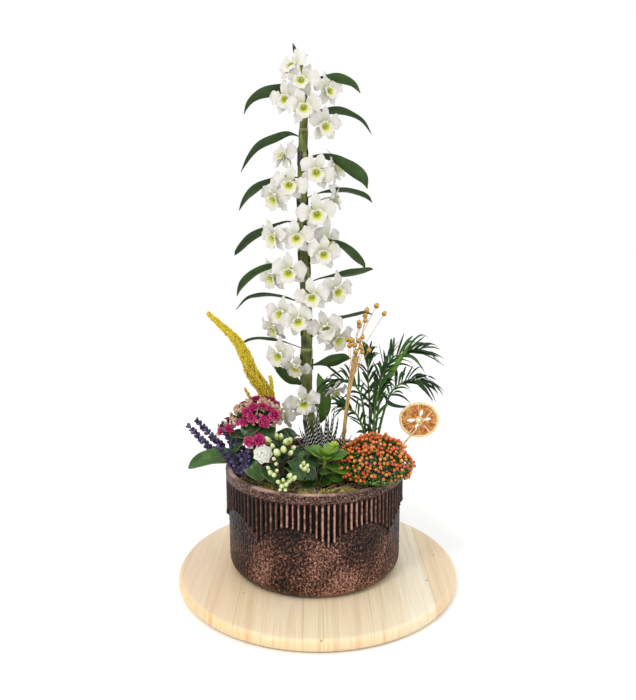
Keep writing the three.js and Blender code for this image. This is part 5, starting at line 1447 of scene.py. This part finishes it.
# Bead-plant leaf: tiny, round and fleshy, mid green to dark green, with a soft gloss; its hidden core is
# painted near black as shade.
bead_leaf = new_material("tiny_fleshy_leaf")
colour = add_node("ValToRGB", "chance", stops={0: "#233f15", 0.5: "#446b24", 0.85: "#6a9439", 1: "#9abb57"})
# Painted shade: the core, tone -1, is mixed towards near-black green.
colour = add_node("MixRGB", add_node("MapRange", "tone", -1, 0, 1, 0), colour, "#141d0c")
add_node("BsdfPrincipled", colour, Roughness=0.35, IOR=1.45)
# Bead-plant berry: a glossy orange-red bead, paler round a small dark navel at its tip.
berry = new_material("glossy_orange_berry")
flush = add_node("ValToRGB", "chance", stops={0: "#bd4516", 0.5: "#dd6a26", 1: "#f0964c"})
navel = add_node("ValToRGB", "along", stops={0: "#b5cf7a", 0.12: "#ffffff", 0.93: "#ffffff", 1: "#5a2410"})
colour = add_node("MixRGB", 1, flush, navel, blend_type="MULTIPLY")
add_node("BsdfPrincipled", colour, Roughness=0.22, IOR=1.45, Subsurface_Weight=0.15, Coat_Weight=0.3)
make_piece("bead_cushion", cushion, [bead_leaf, berry], "bead_plant")


# ---- the parlour palm ----
# Fronds behind the bead plant on pale green stems, in four clumps. Each has two rows of narrow arching
# leaflets, the longest about the middle, and ends in a pair.
# Each clump: its fronds, each the points of its stem, the length of its leaflets, how many pairs it has, and
# where on the stem they begin.
PALM_CLUMPS = [
    [
        ([(82, 56, 157), (88, 54, 250), (106, 50, 318), (136, 46, 348), (160, 42, 352)], 52, 17, 0.42),
        ([(86, 50, 157), (96, 46, 240), (104, 44, 300), (118, 42, 350)], 40, 12, 0.4),
    ],
    [([(92, 50, 157), (104, 46, 240), (122, 44, 290), (148, 42, 306), (166, 40, 300)], 42, 14, 0.4)],
    [
        ([(76, 52, 157), (76, 48, 240), (64, 44, 292), (42, 42, 306), (28, 40, 302)], 42, 14, 0.34),
        ([(80, 46, 157), (74, 38, 225), (56, 34, 258), (40, 32, 264)], 34, 10, 0.3),
    ],
    [
        ([(84, 64, 157), (86, 66, 250), (82, 66, 312), (84, 64, 346)], 40, 13, 0.36),
        ([(88, 42, 157), (90, 38, 230), (96, 36, 285), (104, 34, 320)], 38, 12, 0.2),
    ],
]
# Each undivided leaf of the first clump: its foot, knee, tip, half width, way across and how bright it is.
PALM_SPEARS = [
    ((90, 46, 262), (118.5, 43, 316), (153, 40, 374), 6.0, (0.8, 0.45, -0.45), 0.95),
    ((112, 44, 285), (118, 42, 266), (156, 34, 264), 3.6, (0.2, 0.5, 0.8), 0.1),
]
PALM_STEM, LEAFLET_HALF, LEAFLET_THICK = (2.6, 0.7), (1.3, 2.7), 0.45
LANCE = [(0, 0.3), (0.12, 0.7), (0.4, 1.0), (0.7, 0.75), (0.9, 0.35), (1, 0.05)]


def palm_frond(surfaces, points, leaflet, pairs, begin):
    """One frond: its stem and its pairs of leaflets, which spread less and droop more towards the tip."""
    path, last = through(points, 70), 69
    surfaces.tube(path, np.linspace(*PALM_STEM, 70), 8, skin=1)
    for k in range(pairs):
        row = int((begin + (1 - begin) * k / (pairs - 1) * 0.99) * last)
        foot, along = path[row], unit(path[min(row + 1, last)] - path[max(row - 1, 0)])
        level = unit(np.cross(along, (0.1, -0.9, 0.4)))
        for hand in (-1, 1):
            share = 0.55 + 0.45 * math.sin(math.pi * (0.15 + 0.7 * k / pairs))
            length = leaflet * share * draw.uniform(0.75, 1.15)
            spread = math.radians(48 - 34 * k / (pairs - 1) + draw.normal(0, 9))
            way = along * math.cos(spread) + level * hand * math.sin(spread)
            way = unit(way + (0, draw.normal(0, 0.35), 0.15))
            sag = UP * length * draw.uniform(0.0, 0.5)
            line = arched(foot, foot + way * length * 0.52 + sag * 0.14, foot + way * length - sag, 11)
            half = draw.uniform(*LEAFLET_HALF) * outline(LANCE, np.linspace(0, 1, 11))
            side = np.cross(way, (0.1, -0.75, 0.55)) + draw.normal(0, 0.5, 3)
            given = dict(fold=-0.25, columns=3, chance=draw.uniform(0, 0.9) ** 1.4)
            blade(surfaces, line, side, half, LEAFLET_THICK, **given)


# Palm leaflet: thin, dark and glossy, with fine ribs along it 0.8 mm apart; the newest leaf is fresh green.
palm_leaf = new_material("glossy_palm_leaflet")
blotch = add_node("TexNoise", "place", Scale=40, Detail=2)
shade = add_node("Math MULTIPLY_ADD", blotch, 0.5, add_node("Math MULTIPLY_ADD", "chance", 0.6, -0.12))
PALM_GREENS = {0.1: "#152c14", 0.35: "#27481b", 0.6: "#406824", 0.85: "#659632", 1: "#80b040"}
colour = add_node("ValToRGB", shade, stops=PALM_GREENS)
ribs = add_node("Math SINE", add_node("Math MULTIPLY", "across", 24))
bump = add_node("Bump", Height=ribs, Strength=0.3, Distance=0.0002)
add_node("BsdfPrincipled", colour, Roughness=0.3, IOR=1.45, Specular_IOR_Level=0.3, Normal=bump)
# Palm stem: smooth pale green with darker flecks.
FLECKED = {0.35: "#35521c", 0.55: "#63843a", 0.7: "#90ac5f"}
palm_stem = patterned("smooth_palm_stem", (500, 500, 60), 2, FLECKED, 0.4)

for i, clump in enumerate(PALM_CLUMPS):
    draw = np.random.default_rng(181 + i)
    fronds = Surfaces()
    for frond in clump:
        palm_frond(fronds, *frond)
    for foot, knee, tip, half, side, bright in PALM_SPEARS if i == 0 else []:
        half = half * outline(LANCE, np.linspace(0, 1, 30))
        blade(fronds, arched(foot, knee, tip, 30), side, half, 0.6, fold=0.3, chance=bright)
    make_piece(f"palm_{i + 1}", fronds, [palm_leaf, palm_stem], f"palm_frond_{i + 1}")


# ---- the dried flax ----
# Nine dried flax stalks, stuck in beside the cane. Two turns of fibre tie them, and above the tie they
# spread into thin twigs that each end in a round golden seed capsule on five dry sepals.
FLAX_LINE, FLAX_STALKS = [(38, 12, 157), (42, 10, 231), (50, 10, 300), (60, 10, 350)], 9
FLAX_RADIUS, TIE_RADIUS, TWIG_RADIUS, CAPSULE_RADIUS = (1.0, 1.35), 0.4, 0.5, (3.3, 4.2)
FLAX_CAPSULES = [
    *[(46, 376), (49, 368), (79, 360), (69, 380), (90, 428), (102, 416), (75, 422), (73, 413), (73, 406)],
    *[(63, 403), (64, 397), (52, 376), (57, 368), (63, 374), (66, 365), (59, 358), (69, 357)],
]
flax = Surfaces()
draw = np.random.default_rng(191)
flax_path = through(FLAX_LINE, 30)
spread = 1 + 0.9 * smooth_step(np.linspace(0, 1, 30), 0.55, 1.0)[:, None]
for k in range(FLAX_STALKS):
    flax.tube(flax_path + heading(40 * k) * (2.1 if k else 0) * spread, draw.uniform(*FLAX_RADIUS), 7)
for height in (0.32, 0.34):
    at, along, out = around(flax_path, np.full(18, height), np.linspace(0, 2 * np.pi, 18))
    flax.tube(at + out * 3.3, TIE_RADIUS, 5, tone=0.5)
for x, z in FLAX_CAPSULES:
    end = np.array([x, 10 + draw.uniform(-5, 5), z])
    share = np.clip((z - 320) / 60 - draw.uniform(0.25, 0.5), 0.1, 0.92)
    foot = flax_path[int(20 + share * 9)] + draw.normal(0, 1, 3)
    bow = (foot + end) / 2 + (draw.normal(0, 3), draw.normal(0, 2), -2)
    twig = through([foot, bow, end], 12)
    flax.tube(twig, TWIG_RADIUS, 5)
    way, size, shares = unit(twig[-1] - twig[-2]), draw.uniform(*CAPSULE_RADIUS), np.linspace(-1, 1, 11)
    axis = end + way * shares[:, None] * size * 1.1
    bulge = size * np.sqrt(np.maximum(0.01, 1 - shares**2)) * (1 - 0.12 * shares)
    flax.tube([*axis, axis[-1] + way * 1.6], [*bulge, 0.15], 15, skin=1)
    at, along, out = around(axis[[0, -1]], np.zeros(5), np.linspace(0, 2 * np.pi, 5, endpoint=False))
    feet = at - along * 0.6
    flax.darts(feet, feet + along * 4.2 + out * 2.6, np.cross(along, out), 1.8, 0.5, 0.5)

# Flax capsule: a dry polished pod, golden brown, with five fine seams and a darker point.
capsule = new_material("polished_flax_capsule")
colour = add_node("ValToRGB", "along", stops={0: "#5d3d10", 0.3: "#a4741f", 0.7: "#cfa036", 1: "#5a380e"})
seam = add_node("Math SINE", add_node("Math MULTIPLY", "across", 8))
bump = add_node("Bump", Height=seam, Strength=0.3, Distance=0.0004)
add_node("BsdfPrincipled", colour, Roughness=0.28, IOR=1.5, Coat_Weight=0.2, Normal=bump)
make_piece("flax", flax, [straw, capsule], "flax_bundle")


# ---- the dried orange slice ----
# A round of orange dried hard. The cream rind and pith stand round ten brown segments, and light shows
# through four of them where the flesh shrank from the membranes at the core.
SLICE_MIDDLE, SEGMENTS, OPEN_SEGMENTS = np.array([159, 10, 249.0]), 10, (0, 2, 5, 7)
RIND_RADII, RIND_THICK = [27.0, 27.6, 28.4, 29.2, 30.0, 30.6, 30.9], [2.0, 2.8, 3.2, 3.4, 3.4, 3.0, 1.8]
CORE_RADII, CORE_THICK = [2.4, 3.4, 4.8, 6.2], [1.4, 2.2, 2.2, 1.6]
FLESH_FROM, FLESH_TO, FLESH_THICK, MEMBRANE_THICK = 5.6, 27.5, 1.5, 2.3


def on_slice(radius, angle, behind=0.0):
    """A point of the slice: its distance from the core, its angle, and how far behind the front."""
    radius, a, behind = np.broadcast_arrays(radius, np.radians(angle), behind)
    radius = radius * (1 + 0.02 * np.cos(2 * a + 0.6))
    return SLICE_MIDDLE + np.stack([radius * np.cos(a), behind, radius * np.sin(a) * 0.93], axis=-1)


orange = Surfaces()
draw = np.random.default_rng(201)
turn = np.linspace(0, 360, 120, endpoint=False)
rind, rind_thick, core, core_thick = (
    np.array(column)[:, None] for column in (RIND_RADII, RIND_THICK, CORE_RADII, CORE_THICK)
)
warp = 0.25 * np.sin(np.radians(turn) * 3) + 0.2 * np.sin(np.radians(turn) * 7 + 1)
orange.shell(on_slice(rind + warp, turn, 0.2 * warp), rind_thick, tones=(0, 0), wrap=True)
ribbed = core + 0.5 * np.sin(np.radians(turn) * 10)
orange.shell(on_slice(ribbed, turn), core_thick, tones=(1, 1), wrap=True)
membrane, shares = np.linspace(5, 27.2, 9)[:, None], np.linspace(0, 1, 16)[:, None]
for k in range(SEGMENTS):
    middle = 360 * (k + 0.1) / SEGMENTS + draw.normal(0, 1.5)
    grid = on_slice(membrane, middle - 180 / SEGMENTS + np.array([-1, 0, 1]) * 3.4 / membrane**0.5)
    orange.shell(grid, MEMBRANE_THICK, tones=(0.7, 0.7), rim=0.8)
    opening = 0.9 * np.interp(shares, [0.0, 0.08, 0.26, 0.62], [0.3, 0.7, 1.0, 0.0]) * (k in OPEN_SEGMENTS)
    dent = 0.5 + 0.35 * np.sin(shares * 9 + k) + 0.3 * np.sin(shares * 17 + 2 * k)
    for hand in (-1, 1):
        spread = hand * mixed(opening, 0.98, np.linspace(0, 1, 7))
        columns = spread if hand > 0 else spread[:, ::-1]
        dip = dent * (1 - np.abs(spread) ** 4)
        grid = on_slice(mixed(FLESH_FROM, FLESH_TO, shares), middle + 180 / SEGMENTS * columns, dip)
        orange.shell(grid, FLESH_THICK, tones=(0, 0), rim=0.8, chance=draw.uniform(), skin=1)

# Dried rind and pith: cream to straw, leathery, more orange on the outer edge.
pith = new_material("dried_orange_rind")
pore = add_node("TexNoise", "place", Scale=400, Detail=3)
cream = add_node("ValToRGB", pore, stops={0.3: "#d9b878", 0.5: "#efd9a0", 0.7: "#f7e9c0"})
outer = add_node("MapRange", "along", 0.8, 1, 0, 0.4)
outer = add_node("Math MULTIPLY", outer, add_node("Math SUBTRACT", 1, "tone"))
colour = add_node("MixRGB", outer, cream, "#c98a3c")
bump = add_node("Bump", Height=pore, Strength=0.5, Distance=0.0005)
add_node("BsdfPrincipled", colour, Roughness=0.6, Subsurface_Weight=0.1, Normal=bump)
# Dried flesh: amber-brown and slightly sticky, its shrunken juice sacs 2 mm wide and pointing at the core.
flesh = new_material("dried_orange_flesh")
sac, cloud = add_node("TexVoronoi", "place", Scale=420), add_node("TexNoise", "place", Scale=110, Detail=4)
shade = add_node("Math MULTIPLY_ADD", sac, 0.35, cloud)
AMBERS = {0.34: "#5a270b", 0.5: "#964b15", 0.64: "#b86a24", 0.82: "#dc9f52"}
colour = add_node("ValToRGB", shade, stops=AMBERS)
bump = add_node("Bump", Height=shade, Strength=0.8, Distance=0.0009)
add_node("BsdfPrincipled", colour, Roughness=0.35, Subsurface_Weight=0.1, Normal=bump)
make_piece("dried_orange", orange, [pith, flesh], "orange_slice")


# ---- the pick ----
# One thin split of bamboo, tapered to a point at the top. It is stuck into the mix on the right, lies
# across the face of the slice and carries it.
PICK, PICK_RADII = [(92, 6.4, 157), (136, 6.4, 212), (179, 6.4, 266)], [1.5] * 20 + [1.4, 1.2, 0.9, 0.3]
pick = Surfaces()
pick.tube(through(PICK, 24), PICK_RADII, 7)
# Split bamboo: dry and straw coloured, with fine fibres along it that catch the light.
BAMBOO = {0.35: "#ad8b4b", 0.5: "#e0bf7e", 0.65: "#f3dfae"}
bamboo = patterned("split_bamboo", (300, 300, 90), 3, BAMBOO, 0.5, (0.4, 0.0003))
make_piece("bamboo_pick", pick, [bamboo], "orange_pick")
